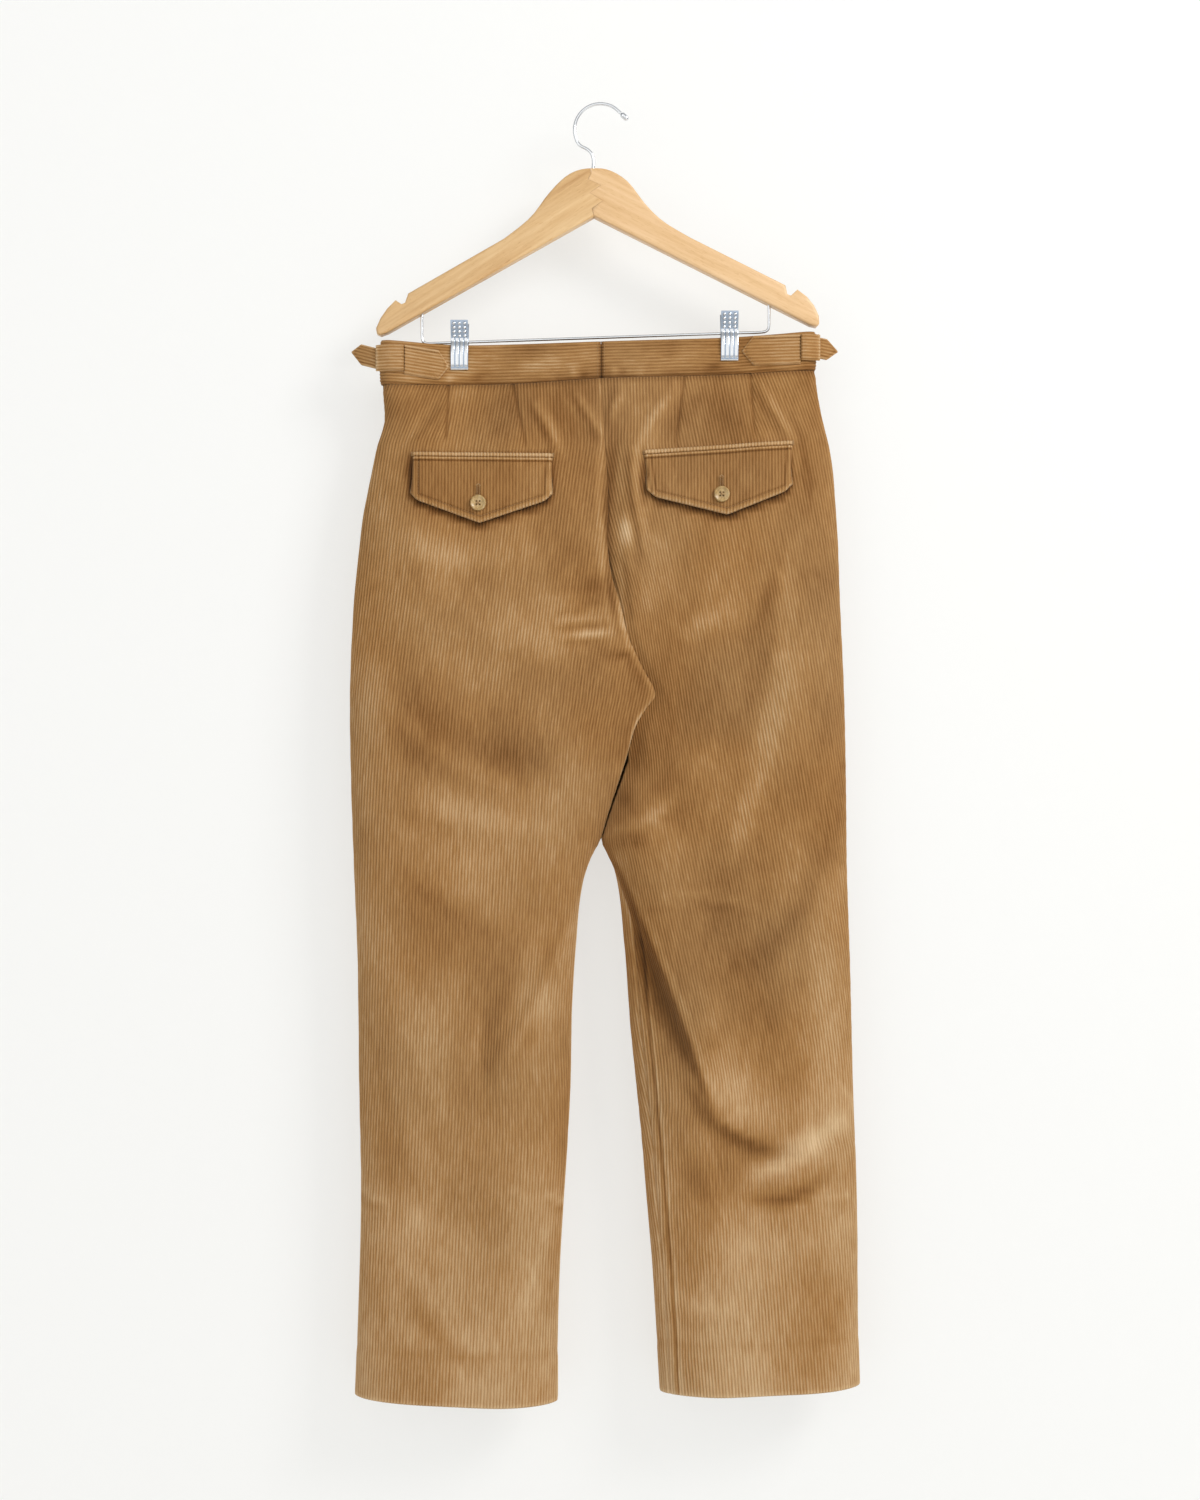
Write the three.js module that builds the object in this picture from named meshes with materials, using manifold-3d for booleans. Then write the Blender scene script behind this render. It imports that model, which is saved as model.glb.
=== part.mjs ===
// Corduroy trousers hung by the waistband from a wooden hanger with two clips.
// Millimetres, +Z up. The origin is the inside top of the hook, where it bears on its peg. The trousers' back
// faces -Y, their left leg is at -X. A drop is a height measured down from the origin, as a tape hangs.
import * as THREE from "three";
import { mergeVertices } from "three/addons/utils/BufferGeometryUtils.js";
import Module from "manifold-3d";

const wasm = await Module();
wasm.setup();

// Walls and gaps
const CLOTH = 2;
const BAND_CLOTH = 2.4;
const DOUBLE_CLOTH = 2.8;
const GAP = 0.3;
const LAY_GAP = 0.7;

// Finish
const CORDUROY = "#a27b50";
const CORDUROY_DARK = "#94703f";
const HORN = "#ad8c5f";
const BEECH = "#e4c39a";
const CHROME = "#c9ccd0";

// The lines that run across the whole garment, each as a drop by x.
const ACROSS = {
  x: [-245, -214, -146, -76, 5, 64, 124, 179, 218, 262],
  bandTop: [234, 235, 239.5, 239.5, 237, 235, 232.5, 229.5, 226.5, 224],
  waistSeam: [280, 279.5, 279.5, 278.5, 273.5, 271.5, 269.5, 267, 265.5, 264],
  hem: [1287, 1288, 1290.5, 1293.5, 1291, 1284, 1282, 1280, 1278.5, 1277],
};

// The side seams' x by drop.
const SIDE_SEAM = {
  drop: [266, 290, 317, 344, 374, 404, 434, 494, 584, 674, 764, 854, 974, 1094, 1214, 1290],
  left: [-215, -213, -212, -220, -226, -232, -236, -242, -246, -245, -242, -238.5, -237, -235, -238, -241],
  right: [219, 222, 227.5, 234, 238, 240, 242, 244, 248, 250, 251, 254, 257, 261, 262, 264],
};

const APEX_DROP = 735; // where the two legs part
// The gap between the legs, which both panels of a leg share.
const LEG_GAP = {
  drop: [735, 749, 763, 779, 804, 829, 860, 914, 974, 1034, 1094, 1154, 1214, 1290],
  left: [4.6, -3.4, -9, -13.4, -17, -19, -21.4, -24, -25, -28, -32, -35.6, -37.6, -38.2],
  right: [4.6, 11.5, 18, 22, 25.4, 27.6, 30.4, 34, 40, 46, 51, 56, 60, 64.4],
};

// The inner edges above the apex: the centre seam behind, which ends in the left back panel's crotch point,
// and the centre seam in front. The right back panel runs on beneath that point by the underlap.
const CENTRE_BACK = {
  drop: [273, 324, 394, 434, 467, 503, 533, 564, 589, 604, 619, 653, 700, 735],
  x: [5, 8, 12, 11, 14.5, 25, 33, 47, 59, 49, 40.5, 32, 15.9, 4.6],
};
const UNDERLAP = {
  drop: [480, 503, 533, 564, 589, 604, 625, 650],
  by: [0, 3, 10, 21, 31, 22, 9, 0],
};
const CENTRE_FRONT = { drop: [273, 540, 735], x: [4, 4, 4.6] };

// On the right leg the inseam rolls round to the back, between these drops and by this breadth.
const ROLL_STARTS = 760;
const ROLL_ENDS = 830;
const ROLL_BREADTH = 10;

// Half depths, from the middle plane to the outside of the cloth.
const FULLNESS = {
  drop: [273, 330, 400, 480, 560, 640, 735, 850, 1000, 1150, 1290],
  back: [11, 15, 21, 25, 27, 28, 27, 26, 26, 28, 33],
  front: [10, 13, 17, 20, 22, 24, 25, 25, 26, 28, 32],
};
// At the waist the cloth is pinched flat under each clip and bows out between them.
const WAIST = {
  x: [-214, -196, -165, -147, -136, -125, -105, -50, 5, 50, 103, 122, 133, 144, 162, 198, 218],
  depth: [8, 8, 5.4, 3.8, 3.7, 3.8, 5, 8.5, 9, 8.5, 5, 3.8, 3.7, 3.8, 5.4, 8, 8],
};
const WAIST_ROUNDING = 12; // breadth over which the band turns round each side
const LEG_ROUNDING = 72; // the same lower down
const WAIST_EASE = 75; // drop over which the pinched waist opens out
const LEAST_DEPTH = 4; // below which no trough takes the cloth

// The right back panel lies this much deeper than the left one's point, coming out again beyond it. The lap
// sets in and fades out between these drops, where the right panel is free to stand this much higher.
const LAP = 4.8;
const LAP_SLOPE = 0.5;
const LAP_STARTS = [400, 462];
const LAP_ENDS = [652, 700];
const LAP_FREE = 20;

// Folds by their crest, from its upper end over its middle to its lower end, each as [x, drop], with the
// breadth of the slope on its left and on its right and its height. A trough has a negative height.
const BACK_FOLDS = [
  { from: [10, 728], over: [76, 880], to: [206, 1042], left: 9, right: 58, height: 13 },
  { from: [2, 742], over: [-46, 868], to: [-112, 1004], left: 18, right: 26, height: 9 },
  { from: [38, 296], over: [31, 400], to: [40, 512], left: 11, right: 26, height: 8 },
  { from: [4, 300], over: [12, 405], to: [24, 505], left: 14, right: 9, height: -5 },
  { from: [-72, 300], over: [-34, 400], to: [10, 480], left: 26, right: 20, height: 4.5 },
  { from: [-132, 272], over: [-158, 320], to: [-186, 372], left: 16, right: 16, height: 3 },
  { from: [130, 262], over: [148, 318], to: [176, 380], left: 18, right: 18, height: 3 },
  { from: [-178, 540], over: [-120, 640], to: [-30, 715], left: 40, right: 40, height: -5 },
  { from: [30, 700], over: [90, 668], to: [180, 640], left: 18, right: 24, height: 3 },
  { from: [262, 1015], over: [190, 1058], to: [120, 1096], left: 26, right: 22, height: -5 },
  { from: [250, 982], over: [190, 1022], to: [120, 1050], left: 22, right: 26, height: 4 },
  { from: [-226, 1040], over: [-170, 1096], to: [-90, 1130], left: 30, right: 30, height: -4 },
  { from: [-70, 1080], over: [-90, 1170], to: [-120, 1260], left: 26, right: 30, height: 3.5 },
];
const FRONT_FOLDS = [
  { from: [-14, 716], over: [-70, 850], to: [-128, 1010], left: 30, right: 12, height: 7 },
  { from: [22, 722], over: [66, 850], to: [150, 990], left: 14, right: 34, height: 7 },
  { from: [-150, 300], over: [-136, 620], to: [-138, 960], left: 20, right: 20, height: 4 },
  { from: [152, 296], over: [148, 620], to: [160, 960], left: 20, right: 20, height: 4 },
  { from: [-20, 470], over: [-60, 560], to: [-120, 630], left: 22, right: 22, height: -4 },
  { from: [30, 480], over: [76, 560], to: [140, 610], left: 22, right: 24, height: -4 },
  { from: [-220, 1010], over: [-150, 1060], to: [-70, 1080], left: 26, right: 26, height: -4 },
  { from: [110, 1020], over: [170, 1064], to: [240, 1090], left: 24, right: 28, height: -4 },
];

// Rows down a panel, as drops on the centre line, and columns across it.
const ROWS = [
  273.5, 292, 317, 344, 374, 404, 434, 464, 494, 520, 545, 567, 589, 604, 622, 648, 678, 708, 735, 752, 775,
  802, 832, 866, 902, 940, 980, 1020, 1060, 1100, 1140, 1180, 1215, 1245, 1270, 1291,
];
const BACK_COLUMNS = 16;
const FRONT_COLUMNS = 9;
const FOLD_STEPS = 12; // pieces in which a crest is searched for its nearest point
const FOLD_REACH = 2.2; // slope breadths past which a fold is not felt
// Drops at which the panels start to draw in towards the apex
const CROTCH_CLOSING = { back: 610, front: 520 };

// Waistband
const BAND_PROUD = 0.5; // beyond the panels it is sewn to
const BAND_COLUMNS = 14;
const BAND_CROWDING = 1.8; // how much closer the columns stand where the band turns round its side
const BAND_LAP = 34; // the left end passes this far over the right one at the front

// Side adjusters on the waistband. Distances are from the centre outwards, and middle is the drop of the
// middle line at the join, with its fall for each millimetre further in or out.
const ADJUSTERS = {
  left: {
    side: -1, point: 146.8, shoulder: 157, join: 191, loopEnd: 219.5, tailShoulder: 235, tip: 245,
    stripMiddle: 255, stripFall: 0.15, loopMiddle: 253.5, tailFall: -0.3,
  },
  right: {
    side: 1, point: 145.5, shoulder: 157, join: 204, loopEnd: 223.5, tailShoulder: 231, tip: 242,
    stripMiddle: 245, stripFall: 0.02, loopMiddle: 243, tailFall: 0.15,
  },
};
const STRIP_HALF = 14.8;
const STRIP_THICK = 2.2;
const TAIL_HALF = 10.4;
const TAIL_THICK = 2;
const LOOP_SECTION = {
  outerHeight: [-13, -13, -11.8, 0, 11.8, 13, 13],
  outerOut: [0.4, 3.2, 4.7, 5, 4.7, 3.2, 0.4],
  innerHeight: [-10.9, -10.9, -10.4, 0, 10.4, 10.9, 10.9],
  innerOut: [0.4, 2, 2.6, 2.7, 2.6, 2, 0.4],
};
const TIP_HALF = 0.6; // of a strap, where its two edges meet
const STRAP_COLUMNS = 8;
const LEAVES_BAND = 8; // the tail leaves the band this far in from its side
const LEAVES_SLOPE = 0.3;

// Back pockets: the welt's two ends, the flap's corner below the first, its point and its far corner, and the
// button, as [x, drop].
const POCKETS = {
  left: {
    from: [-182, 348.4], to: [-43, 350],
    corner: [-182, 394.5], point: [-115, 419.5], far: [-46, 396], button: [-116.2, 400.2],
  },
  right: {
    from: [48, 347], to: [195, 337],
    corner: [54.5, 392.5], point: [130, 411], far: [192, 386], button: [124.2, 391.3],
  },
};
const FLAP_CORNER = { breadth: 5, height: 4 }; // the round of its lower corners
const FLAP_COLUMNS = 14;
const FLAP_ROWS = 4;
const WELT_COLUMNS = 12;
const WELT_HEIGHT = 4.6;
const WELT_THICK = 2.4;
const FLAP_LIFT = 1.2; // the flap's lower edge stands this much further off the panel than its top
const BUTTON_RADIUS = 7.8;
const BUTTON_THICK = 3.2;
const BUTTON_HOLE = 1;
const BUTTON_HOLES_APART = 3.2;
const BUTTON_SIDES = 22;

// Hanger
const ARM_THICK = 14;
const ARM_EDGE = 2.5;
// The hanger's outline as [x, z]: along the under edge to each tip, round it, up to the notch for a
// garment's loop, and along the upper edge to the crown.
const HANGER_LEFT = {
  under: [-208, -227.9], tip: [-220.5, -234.5], side: [-219.5, -223],
  shoulder: [-214, -207], end: [-200, -195],
  notch: [[-194, -199], [-190.5, -197.5], [-187.5, -188.5]], upper: [-92, -133.8],
};
const CROWN = [
  [-66, -113], [-48, -89.5], [-32, -73], [-18, -65.4], [-2, -63.4], [14, -65.6], [32, -77], [50, -100],
  [68, -117], [94, -132.6],
];
const HANGER_RIGHT = {
  notch: [[189, -180.3], [191, -189], [194.5, -190.5]], end: [201, -184.5],
  shoulder: [217, -194], side: [222.5, -211], tip: [225.5, -226], under: [213, -220],
};
const HANGER_APEX = [-2, -111.8]; // of the under edge
// The finger joint as x by height, shared by the two arms.
const FINGERS = [
  [-5, -40], [-5, -70], [-8, -75], [5, -81], [-6, -88.5], [7, -96.5], [-4, -104], [-2, -112], [-2, -260],
];
const HOOK_WIRE = 3.5;
const HOOK_RADIUS = 26; // to the middle of the wire
const HOOK_CENTRE = [4.5, -23.8]; // x and z
const HOOK_TURN = { from: 214, to: 45, step: 16.9 }; // degrees round the centre, from the neck to the tip
const HOOK_NECK = [-7, -44.8];
const HOOK_END = [24.6, -7.2];
const STEM_X = -3.5;
const STEM_TOP = 50;
const STEM_FOOT = 88;
const BAR_WIRE = 3;
const BAR_SOCKET = 30; // how deep the holes for the bar's two legs are
const BAR = { left: [-168, 237.5], right: [169, 226], leftLeg: [-174, 200], rightLeg: [173, 188] };
const BAR_BEND = 7;
const CLIPS = { left: -136.2, right: 133.3 }; // x of their middles
const CLIP_WIDTH = 18;
const CLIP_PLATE = 1;
// A plate's inner face by how far it lies below the bar.
const CLIP_PROFILE = {
  below: [-20.5, -14, -7, -2, 0.5, 3, 12, 20, 26, 28.5],
  out: [10, 8, 4.8, 3, 3.4, 4.8, 6.4, 6, 4.8, 4.8],
};
const SPRING_RADIUS = 2.7;
const SPRING_LENGTH = 9;
const TIP_RADIUS = 2.9;
const TIP_LENGTH = 4;
const TIP_SLOPE = 0.9; // downwards, for each millimetre along
const HOOK_STEPS = 44;
const BAR_STEPS = 64;
const WIRE_SIDES = 3; // in each half of the round

// A smooth curve through the points (keys, values), read at one key.
function along(keys, values, at) {
  const last = keys.length - 1;
  const slope = (i) => {
    const low = Math.max(i - 1, 0);
    const high = Math.min(i + 1, last);
    return (values[high] - values[low]) / (keys[high] - keys[low]);
  };
  if (at <= keys[0]) return values[0] + slope(0) * (at - keys[0]);
  if (at >= keys[last]) return values[last] + slope(last) * (at - keys[last]);
  let i = 0;
  while (at > keys[i + 1]) i += 1;
  const width = keys[i + 1] - keys[i];
  const u = (at - keys[i]) / width;
  const rise = values[i + 1] - values[i];
  const a = slope(i) * width - rise;
  const b = rise - slope(i + 1) * width;
  return values[i] + u * rise + u * (1 - u) * (a * (1 - u) + b * u);
}

const mix = (a, b, share) => a + (b - a) * share;
const clamp01 = (value) => Math.min(1, Math.max(0, value));
const ease = (low, high, at) => {
  const u = clamp01((at - low) / (high - low));
  return u * u * (3 - 2 * u);
};
// A quarter round: 0 at the edge, 1 from its breadth inwards.
const quarterRound = (inwards, breadth, power = 0.55) =>
  (1 - (1 - clamp01(inwards / breadth)) ** 2) ** power;

const bandTop = (x) => along(ACROSS.x, ACROSS.bandTop, x);
const waistSeam = (x) => along(ACROSS.x, ACROSS.waistSeam, x);
const hem = (x) => along(ACROSS.x, ACROSS.hem, x);
const rowDrop = (down, x) => mix(waistSeam(x), hem(x), down);
const rolled = (drop) => ROLL_BREADTH * ease(ROLL_STARTS, ROLL_ENDS, drop);

const PANELS = {
  back_left: { side: -1, face: "back", hand: "left", folds: BACK_FOLDS },
  back_right: { side: 1, face: "back", hand: "right", folds: BACK_FOLDS },
  front_left: { side: -1, face: "front", hand: "left", folds: FRONT_FOLDS },
  front_right: { side: 1, face: "front", hand: "right", folds: FRONT_FOLDS },
};

const sideSeam = (name, drop) => along(SIDE_SEAM.drop, SIDE_SEAM[PANELS[name].hand], drop);
function innerEdge(name, drop) {
  const { face, hand } = PANELS[name];
  if (drop > APEX_DROP) return along(LEG_GAP.drop, LEG_GAP[hand], drop);
  if (face === "front") return along(CENTRE_FRONT.drop, CENTRE_FRONT.x, drop);
  const seam = along(CENTRE_BACK.drop, CENTRE_BACK.x, drop);
  const covered = name === "back_right" && drop > UNDERLAP.drop[0] && drop < UNDERLAP.drop.at(-1);
  return covered ? seam - along(UNDERLAP.drop, UNDERLAP.by, drop) : seam;
}

// Where the row that lies this share of the way down meets an edge of a panel.
function meet(edge, name, down) {
  let x = edge(name, mix(ROWS[0], ROWS.at(-1), down));
  for (let turn = 0; turn < 4; turn += 1) x = edge(name, rowDrop(down, x));
  return x;
}

// The height that the folds add at one place.
function foldHeight(folds, x, drop) {
  let sum = 0;
  for (const { from, over, to, left, right, height } of folds) {
    const reach = FOLD_REACH * Math.max(left, right);
    if (drop < Math.min(from[1], over[1], to[1]) - reach) continue;
    const bend = [2 * over[0] - (from[0] + to[0]) / 2, 2 * over[1] - (from[1] + to[1]) / 2];
    const crest = (s) =>
      [0, 1].map((k) => (1 - s) ** 2 * from[k] + 2 * s * (1 - s) * bend[k] + s ** 2 * to[k]);
    let best = { far: Infinity, s: 0, side: 1 };
    for (let i = 0; i < FOLD_STEPS; i += 1) {
      const a = crest(i / FOLD_STEPS);
      const b = crest((i + 1) / FOLD_STEPS);
      const run = [b[0] - a[0], b[1] - a[1]];
      const off = [x - a[0], drop - a[1]];
      const u = clamp01((off[0] * run[0] + off[1] * run[1]) / (run[0] ** 2 + run[1] ** 2));
      const far = Math.hypot(off[0] - u * run[0], off[1] - u * run[1]);
      const side = off[0] * run[1] - off[1] * run[0];
      if (far < best.far) best = { far, s: (i + u) / FOLD_STEPS, side };
    }
    const breadth = best.side > 0 ? right : left;
    sum += height * Math.exp(-((best.far / breadth) ** 2)) * Math.sin(Math.PI * best.s) ** 0.7;
  }
  return sum;
}

// The half depth of the band and the top of the panels.
const waistDepth = (x, inwards) =>
  along(WAIST.x, WAIST.depth, x) * quarterRound(inwards, WAIST_ROUNDING, 0.5);

// How far the outside of a panel stands from the middle plane.
function depth(name, x, drop, outer, inner) {
  const panel = PANELS[name];
  const inSeam = Math.abs(x - outer);
  const closing = ease(CROTCH_CLOSING[panel.face], APEX_DROP, drop);
  const drawnIn = mix(1, quarterRound(Math.abs(inner - x), LEG_ROUNDING), closing);
  const open = ease(waistSeam(x), waistSeam(x) + WAIST_EASE, drop);
  const full = along(FULLNESS.drop, FULLNESS[panel.face], drop) + foldHeight(panel.folds, x, drop);
  const bowed = Math.max(full, LEAST_DEPTH) * quarterRound(inSeam, LEG_ROUNDING) * drawnIn;
  const out = mix(waistDepth(x, inSeam), bowed, open);
  if (name !== "back_right" || drop > LAP_ENDS[1]) return out;
  const point = innerEdge("back_left", drop);
  const over = depth("back_left", Math.min(x, point), drop, sideSeam("back_left", drop), point);
  const free = LAP_FREE * (1 - ease(...LAP_STARTS, drop) + ease(...LAP_ENDS, drop));
  return Math.min(out, over - LAP + LAP_SLOPE * Math.max(0, x - point) + free);
}

// A point on the outside of a panel, down from 0 at the waist to 1 at the hem, and across from 0 at the
// side seam to 1 at the inner edge. Past 1 it rolls on round the leg, and short of 0 too.
function onPanel(name, across, down) {
  const { face, hand } = PANELS[name];
  const turned = across < 0 || across > 1;
  const share = across > 1 ? 2 - across : Math.abs(across);
  const faceHere = turned === (face === "back") ? "front" : "back";
  const here = `${faceHere}_${hand}`;
  const outer = meet(sideSeam, here, down);
  const inner = meet(innerEdge, here, down);
  const x = mix(outer, inner, share);
  const drop = rowDrop(down, x);
  const out = depth(here, x, drop, outer, inner);
  return new THREE.Vector3(x, faceHere === "back" ? -out : out, -drop);
}

// A closed wall between two sheets of points, which are rows of equal length.
function wall(outside, inside) {
  const rows = outside.length;
  const columns = outside[0].length;
  const points = [...outside.flat(), ...inside.flat()];
  const faces = [];
  const quad = (a, b, c, d) => faces.push(a, b, c, a, c, d);
  const at = (sheet, i, j) => (sheet * rows + i) * columns + j;
  for (let i = 0; i < rows - 1; i += 1) {
    for (let j = 0; j < columns - 1; j += 1) {
      quad(at(0, i, j), at(0, i + 1, j), at(0, i + 1, j + 1), at(0, i, j + 1));
      quad(at(1, i, j), at(1, i, j + 1), at(1, i + 1, j + 1), at(1, i + 1, j));
    }
    quad(at(0, i, 0), at(1, i, 0), at(1, i + 1, 0), at(0, i + 1, 0));
    quad(at(0, i, columns - 1), at(0, i + 1, columns - 1), at(1, i + 1, columns - 1), at(1, i, columns - 1));
  }
  for (let j = 0; j < columns - 1; j += 1) {
    quad(at(0, 0, j), at(0, 0, j + 1), at(1, 0, j + 1), at(1, 0, j));
    quad(at(0, rows - 1, j), at(1, rows - 1, j), at(1, rows - 1, j + 1), at(0, rows - 1, j + 1));
  }
  return closed(points, faces);
}

// A geometry from points and faces, turned so that its faces look outwards.
function closed(points, faces) {
  let volume = 0;
  for (let i = 0; i < faces.length; i += 3) {
    const [a, b, c] = [points[faces[i]], points[faces[i + 1]], points[faces[i + 2]]];
    volume += a.dot(new THREE.Vector3().crossVectors(b, c));
  }
  if (volume < 0) faces.reverse();
  const geometry = new THREE.BufferGeometry().setFromPoints(points);
  geometry.setIndex(faces);
  geometry.computeVertexNormals();
  return geometry;
}

// Shares from 0 to 1 that stand closer together towards both ends.
const closeAtEnds = (count, i) => (1 - Math.cos((Math.PI * i) / count)) / 2;

// The level direction out of the cloth, from two points of a row on either side of a place.
function outward(before, after, turn) {
  const run = new THREE.Vector3().subVectors(after, before);
  return new THREE.Vector3(-run.y * turn, run.x * turn, 0).normalize();
}

const FALL = ROWS.at(-1) - ROWS[0];

function panelWall(name, columns) {
  const panel = PANELS[name];
  const isBack = panel.face === "back";
  const turn = isBack ? panel.side : -panel.side;
  const apart = new THREE.Vector3(0, isBack ? -GAP / 2 : GAP / 2, 0);
  const square = new THREE.Vector3(0, isBack ? -1 : 1, 0);
  const inwards = new THREE.Vector3(-panel.side, 0, 0);
  const nudge = 0.004; // share of the breadth by which a place is felt on either side
  const outside = [];
  const inside = [];
  for (const row of ROWS) {
    const down = Math.max(row - ROWS[0], GAP / 2) / FALL;
    const breadth = Math.abs(meet(innerEdge, name, down) - meet(sideSeam, name, down));
    const roll = panel.side > 0 ? rolled(row) / breadth : 0;
    const end = isBack ? 1 - roll : 1 + roll;
    const closing = ease(CROTCH_CLOSING[panel.face], APEX_DROP, row);
    const outsideRow = [];
    const insideRow = [];
    for (let j = 0; j <= columns; j += 1) {
      const across = end * closeAtEnds(columns, j);
      const point = onPanel(name, across, down).add(apart);
      const limit = closing < 1 ? 1 : 2;
      const after = onPanel(name, Math.min(across + nudge, limit), down);
      const out = outward(onPanel(name, across - nudge, down), after, turn);
      if (j === 0) out.set(panel.side, 0, 0);
      if (j === columns && closing < 1) out.lerpVectors(square, inwards, closing).normalize();
      if (j === columns) point.x += ((end > 1 ? -panel.side : panel.side) * GAP) / 2;
      outsideRow.push(point);
      insideRow.push(point.clone().addScaledVector(out, -CLOTH));
    }
    outside.push(outsideRow);
    inside.push(insideRow);
  }
  return wall(outside, inside);
}

// The outside of a panel at one place, as its distance from the middle plane.
function outsideAt(name, x, drop) {
  const down = (drop - waistSeam(x)) / (hem(x) - waistSeam(x));
  return depth(name, x, drop, meet(sideSeam, name, down), meet(innerEdge, name, down));
}

// Waistband halves. Each runs from the centre back round its side to the centre front.
const bandEnd = (side) => SIDE_SEAM[side < 0 ? "left" : "right"][0] + side * BAND_PROUD;
function bandDepth(side, x) {
  const rounding = quarterRound(Math.abs(bandEnd(side) - x), WAIST_ROUNDING, 0.5);
  return (along(WAIST.x, WAIST.depth, x) + BAND_PROUD) * rounding;
}

function bandWall(side) {
  const end = bandEnd(side);
  const back = CENTRE_BACK.x[0] + (side * GAP) / 2;
  const front = CENTRE_FRONT.x[0] + (side < 0 ? BAND_LAP : GAP / 2);
  const stations = [];
  for (let j = -BAND_COLUMNS; j <= BAND_COLUMNS; j += 1) {
    const share = Math.abs(j / BAND_COLUMNS) ** BAND_CROWDING;
    stations.push({ x: mix(end, j > 0 ? front : back, share), face: j > 0 ? 1 : -1 });
  }
  const place = ({ x, face }) => {
    const lap = side < 0 && face > 0 ? (BAND_CLOTH + LAY_GAP) * ease(-BAND_LAP, 0, x) : 0;
    return new THREE.Vector3(x, face * (bandDepth(side, x) + lap), 0);
  };
  const path = stations.map(place);
  const last = path.length - 1;
  const outs = path.map((point, j) => {
    if (j === 0) return new THREE.Vector3(0, -1, 0);
    if (j === last) return new THREE.Vector3(0, 1, 0);
    return outward(path[j - 1], path[j + 1], -side);
  });
  const outside = [];
  const inside = [];
  for (const share of [0, 0.5, 1]) {
    const fall = ({ x }) => -mix(bandTop(x), waistSeam(x) - GAP / 2, share);
    outside.push(path.map((point) => new THREE.Vector3(point.x, point.y, fall(point))));
    inside.push(
      path.map((point, j) => {
        const moved = point.clone().addScaledVector(outs[j], -BAND_CLOTH);
        return new THREE.Vector3(moved.x, moved.y, fall(point));
      }),
    );
  }
  return wall(outside, inside);
}

// A place on the back of the band, or on the line that leaves it beyond, stood out by some distance.
function onAdjuster(side, distance, drop, out) {
  const end = Math.abs(bandEnd(side));
  const leaves = end - LEAVES_BAND;
  const on = bandDepth(side, side * Math.min(distance, leaves));
  const beyond = Math.max(0, distance - leaves) * LEAVES_SLOPE;
  return new THREE.Vector3(side * distance, -(on + out - beyond), -drop);
}

// A flat strap with a pointed end, between two distances from the centre.
function strap(side, from, to, tip, half, thick, middle) {
  const sheet = (out) => {
    const rows = [];
    for (const height of [-1, 0, 1]) {
      const row = [];
      for (let j = 0; j <= STRAP_COLUMNS; j += 1) {
        const distance = mix(from, to, j / STRAP_COLUMNS);
        row.push(onAdjuster(side, distance, middle(distance) + height * half, out));
      }
      row.push(onAdjuster(side, tip, middle(tip) + height * TIP_HALF, out));
      rows.push(row);
    }
    return rows;
  };
  return wall(sheet(GAP + thick), sheet(GAP));
}

function stripWall(adjuster) {
  const { side, point, shoulder, join, stripMiddle, stripFall } = adjuster;
  const middle = (distance) => stripMiddle + stripFall * (join - distance);
  return strap(side, join - GAP, shoulder, point, STRIP_HALF, STRIP_THICK, middle);
}

function tailWall(adjuster) {
  const { side, join, loopEnd, tailShoulder, tip, loopMiddle, tailFall } = adjuster;
  const middle = (distance) => loopMiddle + tailFall * Math.max(0, distance - loopEnd);
  return strap(side, join + 1, tailShoulder, tip, TAIL_HALF, TAIL_THICK, middle);
}

function loopWall(adjuster) {
  const { side, join, loopEnd, loopMiddle } = adjuster;
  const sheet = (heights, outs) =>
    heights.map((height, i) =>
      [0, 0.25, 0.5, 0.75, 1].map((share) =>
        onAdjuster(side, mix(join, loopEnd, share), loopMiddle + height, outs[i]),
      ),
    );
  const { outerHeight, outerOut, innerHeight, innerOut } = LOOP_SECTION;
  return wall(sheet(outerHeight, outerOut), sheet(innerHeight, innerOut));
}

// Back pockets
const between = (from, to, share) => [mix(from[0], to[0], share), mix(from[1], to[1], share)];

// A wall over rows of places on a panel, each row stood off by its own low and high distance.
function layOn(name, rows, low, high) {
  const sheet = (outs) =>
    rows.map((row, i) =>
      row.map(([x, drop]) => new THREE.Vector3(x, -(outsideAt(name, x, drop) + outs[i]), -drop)),
    );
  return wall(sheet(high), sheet(low));
}

function weltWall(name, pocket) {
  const rows = [0, 1].map((down) => {
    const row = [];
    for (let j = 0; j <= WELT_COLUMNS; j += 1) {
      const [x, drop] = between(pocket.from, pocket.to, j / WELT_COLUMNS);
      row.push([x, drop + down * (WELT_HEIGHT - GAP)]);
    }
    return row;
  });
  return layOn(name, rows, [LAY_GAP, LAY_GAP], [LAY_GAP + WELT_THICK, LAY_GAP + WELT_THICK]);
}

// The flap's lower edge, from its rounded corner to the point and on to the far corner.
function flapEdge(pocket, share) {
  const { corner, point, far } = pocket;
  const half = (point[0] - corner[0]) / (far[0] - corner[0]);
  const before = share < half;
  const [x, drop] = before
    ? between(corner, point, share / half)
    : between(point, far, (share - half) / (1 - half));
  const nearest = Math.min(Math.abs(x - corner[0]), Math.abs(far[0] - x));
  return [x, drop - FLAP_CORNER.height * (1 - quarterRound(nearest, FLAP_CORNER.breadth, 0.5))];
}

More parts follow.
